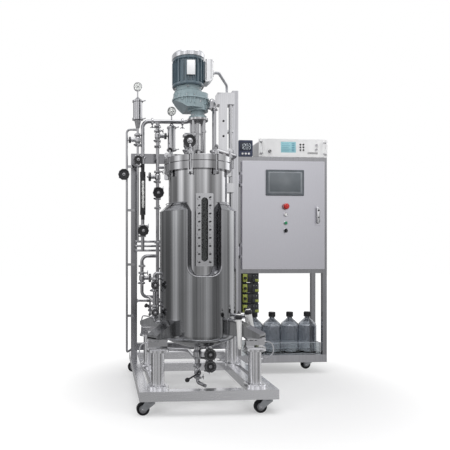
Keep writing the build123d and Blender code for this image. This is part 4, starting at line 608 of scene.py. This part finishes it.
def stem_nut(bm, centre, along, across):
    """Domed nut on a spring washer."""
    turn(bm, [(0.0045, 0), (across * 0.75, 0), (across * 0.75, 0.0012), (0.0045, 0.0012)], centre, along, 20)
    r = across / 1.73
    turn(bm, [(0, 0.0012), (r, 0.0012), (r, 0.0055), (r * 0.8, 0.0068), (r * 0.72, 0.009), (r * 0.4, 0.0112),
              (0, 0.0118)], centre, along, 12)


def black_part(name, bm, body="plant"):
    """Finished piece of black moulding."""
    return piece(name, bm, black, body)


black = moulded("black_moulding", (0.018, 0.018, 0.02), 0.28, 700, 0.05, 0.2, 0.2)
finish(bright, "valve_bodies")
finish(black, "drain_lever")
pipe_y = 0.195
# Wheels that turn: (name, place of the valve, wheel radius, valve size).
jointed = [("lid", (-0.343, -0.252, 1.456), 0.036, 1.3), ("air", (-0.596, pipe_y, 1.435), 0.028, 1.0),
           ("drip", (-0.688, pipe_y, 1.340), 0.036, 0.9), ("flow", (-0.563, pipe_y, 0.980), 0.035, 1.0),
           ("header", (-0.466, pipe_y, 1.224), 0.036, 1.0)]
for name, (x, y, z), radius, size in jointed:
    node, body = name + "_handwheel", name + "_wheel"
    back = y - 0.044 * size - 0.0003
    bm = bmesh.new()
    handwheel(bm, (x, back, z), front, radius, 0.0041)
    wheel = black_part(name + "_valve_wheel", bm, body)
    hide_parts(node)
    bm = bmesh.new()
    stem_nut(bm, (x, back - 0.014, z), front, 0.020 if name == "lid" else 0.013)
    hardware(name + "_stem_nut", bm, body)
# Wheels that are part of their valve: (place of the valve, way its stem points, wheel radius).
drain = (-0.214, -0.200, 0.261)
fixed = [((-0.596, pipe_y, 1.572), left, 0.020), ((-0.466, pipe_y, 1.600), right, 0.020),
         ((-0.466, pipe_y, 1.333), left, 0.028), ((-0.568, pipe_y, 0.674), right, 0.028),
         ((-0.420, pipe_y, 0.640), front, 0.024), ((-0.420, pipe_y, 0.430), front, 0.024),
         (drain, front, 0.035), ((-0.214, -0.200, 0.195), front, 0.035),
         ((-0.525, vessel_y, 0.655), front, 0.024), ((-0.525, vessel_y, 0.500), front, 0.022)]
wheels, nuts = bmesh.new(), bmesh.new()
for place, along, radius in fixed:
    seat = Vector(place) + along * 0.0443
    handwheel(wheels, seat, along, radius, 0.0, 0.0004)
    stem_nut(nuts, seat + along * 0.0144, along, 0.011)
# Locking bar over the lid valve.
solid(nuts, [(0.0075, 0), (0.0075, 0.004), (0.0035, 0.005), (0.0035, 0.026)], (-0.343, -0.262, 1.4865), up, 16)
bar = [(0.0026, -0.020), (0.0034, -0.018), (0.0034, 0.018), (0.0026, 0.020)]
solid(nuts, bar, (-0.343, -0.262, 1.5105), right, 12)
black_part("small_valve_wheels", wheels)
hardware("small_stem_nuts", nuts)


# ---- Pipework
# Orbital-welded sanitary tube; every joint is a pair of ferrules in a two-leaf clamp that is
# drawn up by a swing bolt and wing nut.
def wing_nut(bm, at, along, out):
    """Swing bolt beside a clamp with its wing nut."""
    reach = 0.022
    turn(bm, [(0, -0.004), (0.0028, -0.004), (0.0028, reach + 0.006), (0, reach + 0.0065)], at, along, 10)
    hub = at + along * (reach - 0.004)
    stud(bm, 0.0058, 0.0048, 0.007, 0.007, hub, along, 12)
    for side in (-1, 1):
        tip = hub + out * side * 0.0145 + along * 0.009
        root = hub + out * side * 0.0045 + along * 0.003
        strand(bm, [root, (root + tip) / 2 + along * 0.001, tip], 0.0026, 8)


def clamp(bm, centre, along, out, r=0.0215):
    """Two-leaf clamp round a ferrule pair: hinge ear on one side, wing nut on the other."""
    centre, along, out, half = Vector(centre), along.normalized(), out.normalized(), 0.0066
    across = along.cross(out)
    turn(bm, [(r - 0.004, -half), (r - 0.001, -half), (r + 0.0008, -half + 0.002), (r + 0.0008, half - 0.002),
              (r - 0.001, half), (r - 0.004, half), (r - 0.004, -half)], centre, along, 32)
    for side in (-1, 1):
        peg(bm, 0.0052, -0.0032, 0.0032, centre + out * (r + 0.004) + across * side * 0.0045, across, 10)
    wing_nut(bm, centre + out * (r + 0.0045) + across * 0.004, across, along)
    peg(bm, 0.004, -0.0065, 0.0065, centre - out * (r + 0.002), along, 10)


finish(polished, "service_pipes", "vapour_pipe")
finish(bright, "air_filters")
bands = bmesh.new()
for x, z in ((-0.466, 1.660), (-0.466, 1.530), (-0.466, 1.130), (-0.466, 0.905), (-0.568, 0.752), (-0.420, 0.560),
             (-0.563, 1.460)):
    clamp(bands, (x, pipe_y, z), up, front * 0.8 + left * 0.6)
for x in (-0.501, -0.303):
    clamp(bands, (x, pipe_y, 1.694), right, front * 0.7 - up * 0.7)
# Both ends of every valve are clamped, but those of the drip valve and of the drain are welded.
clamped = [(place, size) for name, place, radius, size in jointed if name != "drip"]
clamped += [(place, 1.0) for place, along, radius in fixed if place != drain]
for (x, y, z), size in clamped:
    for end in (-1, 1):
        clamp(bands, (x, y, z + end * (0.034 * size - 0.001)), up, front * 0.6 + right * end * 0.8, 0.0205 * size)
for end in (-1, 1):
    clamp(bands, (vessel_x, vessel_y, 0.150 + end * 0.033), up, front * 0.6 - right * end * 0.8, 0.0185)
hardware("pipe_clamps", bands)


def bend(points, radius=0.02):
    """Points of a tube through corners, each corner rounded with a swept curve."""
    points = [Vector(p) for p in points]
    way = [points[0]]
    for before, corner, after in zip(points, points[1:], points[2:]):
        a, b = [corner + (end - corner).normalized() * radius for end in (before, after)]
        way += [a * (1 - t) ** 2 + corner * 2 * t * (1 - t) + b * t * t for t in [k / 8 for k in range(9)]]
    return way + [points[-1]]


# Sampling branch: a thin tube from the left post to the steam column, with a small tap on a tee
# whose swan-neck outlet hangs over the skid; and the drip tube's foot, turned in to the post.
post_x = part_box("gantry_frame")[0].x + 0.040
branch_y, branch_z = 0.278, 0.518
bm = bmesh.new()
strand(bm, bend([(post_x, branch_y, branch_z), (-0.475, branch_y, branch_z), (-0.455, pipe_y, branch_z),
                 (-0.412, pipe_y, branch_z)]), 0.008, 14)
strand(bm, bend([(-0.667, pipe_y, 0.225), (-0.667, pipe_y, 0.192), (-0.634, 0.285, 0.192)], 0.022), 0.007, 14)
peg(bm, 0.013, 0, 0.004, (post_x, branch_y, branch_z), right)
tap = Vector((-0.508, branch_y, branch_z))
peg(bm, 0.010, -0.021, 0.021, tap, right, 20)
solid(bm, [(0.0062, 0), (0.0062, 0.028), (0.0125, 0.030), (0.0125, 0.036), (0.0095, 0.037), (0.0095, 0.060),
           (0.0125, 0.061), (0.0125, 0.067), (0.0062, 0.069), (0.0062, 0.088)], tap, -up, 20)
peg(bm, 0.011, 0, 0.012, tap - up * 0.086, -up, 6)
for level in (0.033, 0.064):
    clamp(bm, tap - up * level, up, front, 0.0145)
stem, stalk = tap - up * 0.048, (left * 0.75 + up * 0.45 + front * 0.3).normalized()
solid(bm, [(0.0065, 0), (0.0065, 0.020), (0.0045, 0.022), (0.0045, 0.032)], stem, stalk, 16)
neck = tap - up * 0.094
strand(bm, bend([neck, neck - up * 0.012, neck + left * 0.050 - up * 0.006, neck + left * 0.062 - up * 0.060], 0.011),
       0.0042, 12)
piece("sample_branch", bm, polished)
bm = bmesh.new()
turn(bm, [(0, 0.026), (0.010, 0.026), (0.0145, 0.029), (0.0150, 0.036), (0.0125, 0.040), (0, 0.041)], stem, stalk)
black_part("sample_knob", bm)


# ---- Pressure gauges
# Two dial gauges with steel cases and white faces, screwed on to their pipes. A printed scale
# runs round each dial, and a black needle rests at zero under the crystal.
def hand(bm, middle, degrees, corners):
    """Flat mark on a dial; corners are (outwards, across)."""
    a = math.radians(degrees)
    way, across = around(a, right, up), around(a, up, left)
    bm.faces.new([bm.verts.new(middle + way * s + across * t) for s, t in corners])


finish(bright, "pressure_gauges")
dial_white = moulded("dial_white", (0.82, 0.82, 0.8), 0.5, 500, 0.0, 0.02)
dial_black = moulded("dial_black", (0.02, 0.02, 0.02), 0.5, 500, 0.0, 0.1)
crystal = clear("dial_crystal", (0.97, 0.98, 0.98), 0.01)
for number, (x, z) in enumerate(((-0.596, 1.917), (-0.374, 1.762)), 1):
    face = Vector((x, pipe_y - 0.0091, z))
    dial, marks, cover = bmesh.new(), bmesh.new(), bmesh.new()
    peg(dial, 0.0248, 0, 0.0004, face, front, 48)
    for k in range(26):
        inner, wide = (0.0198, 0.0003) if k % 5 else (0.0175, 0.0006)
        corners = ((inner, -wide), (0.0228, -wide), (0.0228, wide), (inner, wide))
        hand(marks, face + front * 0.0006, 225 - 270 * k / 25, corners)
    needle = ((-0.007, -0.0012), (0.0188, -0.0003), (0.0188, 0.0003), (-0.007, 0.0012))
    hand(marks, face + front * 0.0011, 222, needle)
    turn(marks, [(0, 0.0009), (0.0026, 0.0009), (0.0022, 0.002), (0, 0.0022)], face, front, 16)
    turn(cover, [(0, 0.0026), (0.0246, 0.0026), (0.0246, 0.0034), (0, 0.0040)], face, front, 40)
    piece(f"gauge_dial_{number}", dial, dial_white)
    piece(f"gauge_marks_{number}", marks, dial_black)
    piece(f"gauge_crystal_{number}", cover, crystal)


# ---- Rotameter
# Flow meter in a black moulded body that the air pipe passes through: a tapered glass tube
# stands in front of a printed scale.
finish(black, "rotameter")
tube_x, tube_y = -0.563, pipe_y - 0.017
bm = bmesh.new()
slab(bm, (tube_x - 0.0083, tube_y + 0.0025, 1.130), (tube_x + 0.0083, tube_y + 0.0038, 1.306), 0, 0.0004)
piece("rotameter_scale", bm, dial_white)
bm = bmesh.new()
for k in range(33):
    z, reach = 1.137 + 0.162 * k / 32, 0.0025 if k % 4 else 0.0045
    slab(bm, (tube_x - 0.0078, tube_y + 0.0021, z - 0.0003), (tube_x - 0.0078 + reach, tube_y + 0.0024, z + 0.0003))
piece("rotameter_marks", bm, dial_black)
bm = bmesh.new()
solid(bm, [(0.0034, 0), (0.0038, 0.178)], (tube_x + 0.0025, tube_y + 0.0012, 1.129), up, 20)
piece("rotameter_tube", bm, crystal)


# ---- Probe sleeves
# White plastic sleeves over the three sensors in the jacket wall, closed by black ribbed
# collars. Each sits on a welded steel port with a union nut.
white = moulded("white_moulding", (0.90, 0.90, 0.89), 0.32, 600, 0.04, 0.04, 0.2)
finish(white, "probe_sleeves", "white_button")
jacket_r = 0.2185
collars, ports = bmesh.new(), bmesh.new()
for angle, reach, top, lean in ((-52, 0.291, 0.511, 3), (-29, 0.293, 0.527, 11), (-4, 0.290, 0.508, 0)):
    out = around(math.radians(angle), right, rear)
    head = Vector((vessel_x, vessel_y, top)) + out * reach
    stem = (up - out * math.tan(math.radians(lean))).normalized()
    turn(collars, [(0.012, -0.0315), (0.0172, -0.0285), (0.0180, -0.0265), (0.0180, -0.0115), (0.0170, -0.0093),
                   (0.012, -0.002), (0.012, -0.0315)], head, stem, 28)
    side = stem.orthogonal().normalized()
    across = stem.cross(side)
    for a in angles(18):
        peg(collars, 0.0011, -0.025, -0.013, head + around(a, side, across) * 0.0178, stem, 6)
    # Stub of the signal cable, and its gland above the collar.
    turn(collars, [(0.004, -0.003), (0.0075, -0.002), (0.0070, 0.006), (0.0045, 0.009), (0.0030, 0.016), (0, 0.016)],
         head, stem, 16)
    # The port, from the jacket to the sleeve.
    foot = Vector((vessel_x, vessel_y, (head - stem * 0.040).z)) + out * jacket_r
    run = reach - 0.0155 - jacket_r
    turn(ports, [(0.0105, 0), (0.0105, 0.004), (0.0082, 0.0055), (0.0082, run - 0.014), (0.0122, run - 0.013),
                 (0.0122, run - 0.003), (0.0105, run - 0.001), (0.0072, run - 0.001), (0.0072, 0), (0.0105, 0)],
         foot, out)
piece("probe_ports", ports, polished)
black_part("probe_collars", collars)


# ---- Cabinet door
# Folded stainless sheet brushed upright. A touch panel, an emergency stop, two push buttons
# and a selector are set in it, and a swing handle locks it.
door_steel = steel("door_steel", (0.72, 0.715, 0.76), 0.34, (30, 30, 1), 30, 0.03, 0.25, 0.05)
finish(door_steel, "cabinet_door", "cabinet_body")
finish(moulded("stop_red", (0.62, 0.035, 0.03), 0.3, 700, 0.04, 0.08, 0.3), "emergency_stop")
finish(moulded("start_green", (0.03, 0.3, 0.13), 0.3, 700, 0.04, 0.08, 0.3), "green_button")
finish(black, "selector_knob")
finish(bright, "door_handle")
finish(moulded("bezel_grey", (0.13, 0.145, 0.16), 0.4), "touch_panel")
panel_x, panel_y, panel_z = 0.418, 0.2767, 1.316
bezel_pale = moulded("bezel_pale", (0.28, 0.30, 0.32), 0.35)
screen_grey = moulded("screen_grey", (0.16, 0.18, 0.195), 0.12, 900, 0.0, 0.06, 0.6)
for name, paint, wide, low, high, back, lift, soften in (
        ("panel_inner_frame", bezel_pale, 0.118, 0.074, 0.074, 0.0006, 0.0008, 0.0006),
        ("panel_screen", screen_grey, 0.107, 0.062, 0.066, 0.0004, 0.0013, 0.0003)):
    bm = bmesh.new()
    slab(bm, (panel_x - wide, panel_y - lift, panel_z - low), (panel_x + wide, panel_y + back, panel_z + high),
         0, soften)
    piece(name, bm, paint, "door")
# Cover plate of the swing handle, with the lock plug above and the release button below.
bm = bmesh.new()
handle_x, plate_front = 0.647, 0.2652
slab(bm, (handle_x - 0.0105, plate_front, 1.045), (handle_x + 0.0105, plate_front + 0.0016, 1.147), 0, 0.0007)
pale_plate = steel("pale_plate", (0.86, 0.86, 0.88), 0.3, (30, 30, 1), 30, 0.01, 0.2, 0.03)
piece("handle_plate", bm, pale_plate, "handle")
bm = bmesh.new()
for z, r in ((1.127, 0.0062), (1.080, 0.0048)):
    spot = (handle_x, plate_front + 0.0004, z)
    turn(bm, [(0.0016, 0.0030), (0.0016, 0.0012), (0, 0.0012)], spot, front, 12)
    turn(bm, [(0, 0), (r, 0), (r, 0.0022), (r - 0.0008, 0.0031), (0.0016, 0.0031)], spot, front, 26)
black_part("handle_plugs", bm, "handle")
# Back of the cabinet: a screwed panel with two rows of pressed louvres low down.
lo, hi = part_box("cabinet_body")
edge_x, edge_z = (lo.x + 0.016, hi.x - 0.016), (lo.z + 0.016, hi.z - 0.016)
spots = [(edge_x[0] + (edge_x[1] - edge_x[0]) * k / 4, hi.y, z) for k in range(5) for z in edge_z]
spots += [(x, hi.y, lo.z + (hi.z - lo.z) * k / 4) for k in (1, 2, 3) for x in edge_x]
bm = bmesh.new()
for spot in spots:
    turn(bm, [(0.0014, 0.0034), (0.0014, 0.0016), (0, 0.0016)], spot, rear, 6)
    turn(bm, [(0, 0), (0.0046, 0), (0.0044, 0.0018), (0.0030, 0.0030), (0.0014, 0.0034)], spot, rear, 18)
hardware("cabinet_screws", bm)
bm = bmesh.new()
fold = [(-0.046, -0.003), (-0.042, 0.0012), (-0.036, 0.0022), (0.036, 0.0022), (0.042, 0.0012), (0.046, -0.003)]
for side in (-1, 1):
    for k in range(7):
        x, z = (lo.x + hi.x) / 2 + side * 0.085, lo.z + 0.070 + 0.014 * k
        strand(bm, [(x + dx, hi.y + dy, z) for dx, dy in fold], 0.0032, 12)
piece("cabinet_louvres", bm, door_steel)


# ---- Mounting plate
# Galvanised plate inside the cabinet. Its three rails carry moulded supplies, controllers and
# breakers, each with screw terminals along its top and bottom.
finish(zinc, "mounting_plate")
lo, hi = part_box("mounting_plate")
door_lo, door_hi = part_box("cabinet_door")
# Rails: (level, ((width of a device in mm, its grey), and so on)).
pale, slate, dark = 0, 1, 2
rails = [(door_hi.z - 0.125, ((70, pale), (110, slate), (70, pale), (90, pale), (50, slate))),
         (door_hi.z - 0.265, ((36, pale), (36, pale), (36, pale), (120, slate), (60, pale))),
         (door_lo.z + 0.234, ((180, slate), (90, pale), (90, pale)))]
case_greys = [moulded("case_pale", (0.42, 0.43, 0.44), 0.45), moulded("case_slate", (0.085, 0.095, 0.11), 0.45),
              black]
cases, terminals = bmesh.new(), bmesh.new()
for level, devices in rails:
    start = lo.x + 0.030
    for width, grey in devices:
        end = start + width / 1000
        slab(cases, (start - 0.0008, lo.y - 0.0012, level - 0.0458), (end + 0.0008, lo.y + 0.060, level + 0.0458),
             grey, 0.0016)
        # Stepped middle, with a dark label field or a switch lever, and rows of terminals.
        slab(cases, (start + 0.004, lo.y - 0.0040, level - 0.026), (end - 0.004, lo.y, level + 0.026), grey, 0.0012)
        middle = (start + end) / 2
        slab(cases, (middle - 0.007, lo.y - 0.0085, level - 0.010), (middle + 0.007, lo.y - 0.003, level + 0.008),
             dark, 0.0012)
        poles = max(2, int(width / 11))
        for k in range(poles):
            for z in (level - 0.036, level + 0.036):
                at = (start + width / 1000 * (k + 0.5) / poles, lo.y - 0.0012, z)
                stud(terminals, 0.0030, 0.0027, 0.0008, 0.0008, at, front, 10)
        start = end + 0.006
piece("device_cases", cases, case_greys)
hardware("device_terminals", terminals)


# ---- Rack instrument
# Nineteen-inch steel case with an enamelled front: pale cyan display, six keys, a knob, two
# pull handles and four rack screws.
finish(moulded("rack_enamel", (0.90, 0.90, 0.90), 0.35, 500, 0.05, 0.04, 0.1), "rack_instrument")
rack_left, rack_bottom, rack_front = 0.241, 1.497, 0.301


def on_rack(x, z, proud=0.0):
    """Spot on the rack's front, from its lower left corner."""
    return (rack_left + x, rack_front - proud, rack_bottom + z)


bm = bmesh.new()
slab(bm, on_rack(0.1555, 0.0295, -0.0010), on_rack(0.2615, 0.1035, -0.0019), 0, 0.0004)
# Blank trend lines and value bars of the display.
for k, wide in enumerate((0.052, 0.06, 0.047, 0.058, 0.05)):
    z = 0.040 + 0.012 * k
    slab(bm, on_rack(0.162, z, -0.0004), on_rack(0.162 + wide, z + 0.0022, -0.0012), 1)
    slab(bm, on_rack(0.232, z - 0.001, -0.0004), on_rack(0.252, z + 0.005, -0.0012), 1, 0.0003)
lcd_cyan = moulded("lcd_cyan", (0.36, 0.66, 0.72), 0.2, 900, 0.0, 0.05, 0.5)
piece("rack_display", bm, [lcd_cyan, moulded("lcd_blue", (0.10, 0.30, 0.42), 0.3, 900, 0.0, 0.05)])
bm = bmesh.new()
for k in range(6):
    x, z = 0.302 + (k % 2 - 0.5) * 0.021, 0.066 + (k // 2 - 1) * 0.019
    slab(bm, on_rack(x - 0.0055, z - 0.0055, 0.0048), on_rack(x + 0.0055, z + 0.0055, 0.0015), 0, 0.0012)
# Knob with its grip ribs, and the ventilation slots beside the right handle, drawn as flat black strips that are
# painted shade.
knob_x, knob_z, rib = 0.077, 0.037, 0.0008
solid(bm, [(0.0062, 0.0142), (0.0078, 0.0128), (0.0084, 0.001), (0.0102, 0)], on_rack(knob_x, knob_z), front, 30)
for a in angles(12):
    x, z = knob_x + 0.0083 * math.cos(a), knob_z + 0.0083 * math.sin(a)
    slab(bm, on_rack(x - rib, z - rib, 0.012), on_rack(x + rib, z + rib, 0.001))
# Painted shade: the vent slots are black strips flush with the front.
for k in range(9):
    slab(bm, on_rack(0.345 + 0.008 * k, 0.020, 0.0004), on_rack(0.349 + 0.008 * k, 0.034, -0.0004), 0, 0.0001)
black_part("rack_keys", bm)
# Two sockets, the rack screws, and the feet of the handles.
bm = bmesh.new()
socket = [(0.0042, 0), (0.0085, 0), (0.0085, 0.003), (0.0070, 0.008), (0.0042, 0.008), (0.0042, 0.002), (0, 0.002)]
screw = [(0, 0), (0.0048, 0), (0.0048, 0.0008), (0.0038, 0.0026), (0, 0.0032)]
foot = [(0.0044, 0), (0.0085, 0), (0.0080, 0.0022), (0.0050, 0.0034), (0.0044, 0.0034)]
for outline, across, levels, steps in (
        (socket, (0.404,), (0.052, 0.082), 22), (screw, (0.008, 0.4746), (0.016, 0.106), 18),
        (foot, (0.018, 0.4646), (0.022, 0.100), 22)):
    for x in across:
        for z in levels:
            turn(bm, outline, on_rack(x, z), front, steps)
hardware("rack_fittings", bm)
# Back: fan guard, mains inlet and a row of round sockets.
lo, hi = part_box("rack_instrument")
mid = (lo.z + hi.z) / 2
fan, guard = bmesh.new(), bmesh.new()
hub = Vector((hi.x - 0.090, hi.y, mid))
solid(fan, [(0.036, 0), (0.036, 0.0006), (0.014, 0.0006), (0.013, 0.0016)], hub, rear, 40)
for r in (0.012, 0.021, 0.030, 0.038):
    strand(guard, [hub + rear * 0.0036 + around(a, right, up) * r for a in angles(40) + [2 * math.pi]], 0.0011, 8)
for a in angles(4, 45):
    way = around(a, right, up)
    strand(guard, [hub + rear * 0.0026 + way * r for r in (0.010, 0.0455)], 0.0011, 8)
    stud(guard, 0.0040, 0.0036, 0.0022, 0.0034, hub + way * 0.0455, rear, 16)
slab(fan, (lo.x + 0.050, hi.y - 0.001, mid - 0.014), (lo.x + 0.098, hi.y + 0.0022, mid + 0.014), 0, 0.0016)
for k in range(4):
    at = (lo.x + 0.150 + 0.034 * k, hi.y, mid)
    collar = [(0.0072, 0), (0.0105, 0), (0.0105, 0.0022), (0.0088, 0.0070), (0.0072, 0.0070), (0.0072, 0)]
    turn(guard, collar, at, rear)
    peg(fan, 0.0072, 0, 0.0040, at, rear, 20)
black_part("rack_back_black", fan)
hardware("rack_back_guard", guard)


# ---- Display unit
# Panel meter in a slate-blue plastic case that stands on the cabinet: a dark window with bright
# seven-bar digits over three round keys.
finish(moulded("display_slate", (0.045, 0.055, 0.095), 0.42), "display_unit")
bm = bmesh.new()
slab(bm, (0.1115, 0.3015, 1.5335), (0.1885, 0.3026, 1.5945), 0, 0.0005)
piece("meter_window", bm, moulded("window_dark", (0.012, 0.018, 0.035), 0.12, 900, 0.0, 0.05, 0.6))


def digit(bm, x, z, y, lit, wide=0.0135, tall=0.036, bar=0.0034):
    """Seven-bar digit: the bars that are lit, named a to g."""
    half, gap = tall / 2, bar * 1.3
    bars = {"a": (0, half), "g": (0, 0), "d": (0, -half), "b": (wide / 2, half / 2), "c": (wide / 2, -half / 2),
            "e": (-wide / 2, -half / 2), "f": (-wide / 2, half / 2)}
    for name in lit:
        dx, dz = bars[name]
        w, h = (bar, half - gap) if dx else (wide - gap, bar)
        slab(bm, (x + dx - w / 2, y, z + dz - h / 2), (x + dx + w / 2, y + 0.0006, z + dz + h / 2), 0, 0.0003)


bm = bmesh.new()
for k, lit in enumerate(("bc", "abged", "abcdef", "abgcd")):
    digit(bm, 0.1230 + 0.0180 * k, 1.564, 0.3011, lit)
piece("meter_digits", bm, moulded("digit_white", (0.75, 0.82, 0.86), 0.4, 900, 0.0, 0.02))
bm = bmesh.new()
for x in (0.128, 0.150, 0.172):
    turn(bm, [(0, 0), (0.0072, 0), (0.0072, 0.0016), (0.0058, 0.0026), (0, 0.003)], (x, 0.3010, 1.514), front)
piece("meter_keys", bm, white)
# Terminal strip across the back of the case.
lo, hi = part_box("display_unit")
bm = bmesh.new()
slab(bm, (lo.x + 0.018, hi.y - 0.001, lo.z + 0.022), (hi.x - 0.018, hi.y + 0.006, lo.z + 0.036), 0, 0.0008)
black_part("meter_terminals", bm)
bm = bmesh.new()
for k in range(7):
    at = (lo.x + 0.024 + (hi.x - lo.x - 0.048) * k / 6, hi.y + 0.006, lo.z + 0.029)
    stud(bm, 0.0026, 0.0023, 0.0009, 0.0012, at, rear, 12)
hardware("meter_terminal_screws", bm)


# ---- Pump stack
# Four tubing pumps on one bracket, each with a yellow-green track cover over a dark drive and
# a black knob; a dark key panel with a lime corner fills the right half of each front.
finish(moulded("pump_dark", (0.045, 0.05, 0.055), 0.4), "pump_stack")
pump_face, head_face, cover_face = 0.320, 0.2902, 0.2868
lime, knobs, lamps = bmesh.new(), bmesh.new(), bmesh.new()
for k in range(4):
    top = 0.697 - 0.070 * k
    z = top - 0.031
    # Lime track cover on the left of the round head, with its black locking knob.
    slab(lime, (0.1285, cover_face, top - 0.058), (0.1580, head_face, top - 0.003), 0, 0.0025)
    slab(lime, (0.1285, cover_face, top - 0.058), (0.1320, pump_face + 0.0004, top - 0.003), 0, 0.0012)
    slab(knobs, (0.1590, 0.2880, top - 0.057), (0.1930, head_face, top - 0.005), 0, 0.002)
    knob = [(0.0105, 0), (0.0105, 0.004), (0.0090, 0.009), (0.0085, 0.013), (0.0070, 0.0145)]
    solid(knobs, knob, (0.1430, 0.2870, z), front, 26)
    slab(knobs, (0.1422, 0.2716, z - 0.008), (0.1438, 0.2735, z + 0.008), 0, 0.0004)
    # Lime corner of the key panel, three keys and two lamps.
    slab(lime, (0.2200, 0.3128, top - 0.0575), (0.2462, pump_face + 0.0004, top - 0.0400), 0, 0.0015)
    for x in (0.2095, 0.2215, 0.2335):
        stud(knobs, 0.0040, 0.0036, 0.0012, 0.0015, (x, pump_face - 0.0055, top - 0.030), front, 14)
    for x in (0.2110, 0.2310):
        stud(lamps, 0.0022, 0.0018, 0.0014, 0.0018, (x, pump_face - 0.0055, top - 0.015), front, 12)
    # Rubber feet carry each pump on the one below.
    for x in (0.131, 0.214) if k else ():
        slab(knobs, (x, pump_face + 0.002, top - 0.0002), (x + 0.030, pump_face + 0.092, top + 0.0082), 0, 0.001)
piece("pump_lamps", lamps, white)
piece("pump_covers", lime, moulded("pump_lime", (0.42, 0.48, 0.10), 0.35, 700, 0.04, 0.08, 0.2))
black_part("pump_knobs", knobs)


# ---- Bottles and tray
# Four ribbed-cap laboratory bottles of clear glass stand loose in a tray of clear acrylic sheet,
# bonded at its edges. Pale opaque strips along the tops and front edges of its walls are painted highlights.
finish(clear("tray_acrylic", (0.86, 0.89, 0.90), 0.03, 1.2), "bottle_tray")
# Painted highlights: pale opaque strips on the rims and front edges of the clear walls.
bm = bmesh.new()
lo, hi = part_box("bottle_tray")
wall, skim = 0.004, 0.0004
for x, y, end_x, end_y in ((lo.x, lo.y, hi.x, lo.y + wall), (lo.x, hi.y - wall, hi.x, hi.y),
                           (lo.x, lo.y, lo.x + wall, hi.y), (hi.x - wall, lo.y, hi.x, hi.y)):
    slab(bm, (x, y, hi.z - skim), (end_x, end_y, hi.z + 0.0012), 0, 0.0005)
for x in (lo.x - skim, hi.x - 0.0016):
    slab(bm, (x, lo.y - skim, lo.z + 0.001), (x + 0.002, lo.y + 0.0016, hi.z), 0, 0.0005)
slab(bm, (lo.x, lo.y - skim, lo.z + 0.001), (hi.x, lo.y + 0.001, lo.z + 0.0032), 0, 0.0005)
piece("tray_rim_highlights", bm, moulded("acrylic_rim_painted_highlight", (0.70, 0.74, 0.78), 0.15, 900, 0.0, 0.03, 0.5))
# The bottles' glass is tinted paler low down, a painted reflection of the tray's clear front; it is darkest just
# above that and a little paler again towards the neck.
bottle_glass = clear("bottle_glass", (0.6, 0.6, 0.6), 0.02, 1.6)
tree = bottle_glass.node_tree
height = add(tree, "SeparateXYZ", (add(tree, "NewGeometry").outputs["Position"],)).outputs["Z"]
reflection_tints = [(0.22, (0.66, 0.68, 0.71)), (0.34, (0.42, 0.45, 0.49)), (0.80, (0.50, 0.52, 0.55))]
shade = ramp(tree, add(tree, "MapRange", (height, 0.14, 0.40)), reflection_tints)
feed(tree.nodes["Principled BSDF"], {"Base Color": shade})
finish(bottle_glass, "bottles")
finish(black, "bottle_caps")
bm = bmesh.new()
for k in range(4):
    for spot in ringed(0.241 + 0.128 * k, 0.405, 0, 0.0230, 28):
        turn(bm, [(0, 0.388), (0.0011, 0.388), (0.0011, 0.416), (0, 0.417)], spot, up, 6)
black_part("cap_ribs", bm)


# ---- Load-cell cables
# Braided instrument cable, looping out of the gland of each front cell and back to a clip. The
# loops hang freely, and nothing that moves pulls on them.
cable_look = moulded("braided_cable", (0.5, 0.5, 0.52), 0.5, 1500, 0.4)
for name, length, points in (
    ("right_load_cable", 0.155,
     [(0.047, -0.430, 0.3645), (0.075, -0.430, 0.3645), (0.091, -0.434, 0.330), (0.084, -0.435, 0.298),
      (0.058, -0.430, 0.275), (0.030, -0.430, 0.275)]),
    ("left_load_cable", 0.19,
     [(-0.593, -0.430, 0.3645), (-0.619, -0.430, 0.3645), (-0.631, -0.433, 0.325), (-0.628, -0.435, 0.282),
      (-0.617, -0.435, 0.244), (-0.599, -0.430, 0.219), (-0.576, -0.430, 0.219)]),
):
    curve = bpy.data.curves.new(name + "_braid", "CURVE")
    curve.dimensions = "3D"
    curve.bevel_depth, curve.bevel_resolution, curve.use_fill_caps = 0.003, 3, True
    spline = curve.splines.new("NURBS")
    spline.points.add(len(points) - 1)
    for point, place in zip(spline.points, points):
        point.co = (*place, 1)
    spline.use_endpoint_u, spline.order_u, spline.resolution_u = True, 3, 12
    curve.materials.append(cable_look)
    braid = bpy.data.objects.new(name + "_braid", curve)
    bpy.context.scene.collection.objects.link(braid)
    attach(braid, "plant")
    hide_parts(name)

lo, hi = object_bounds()
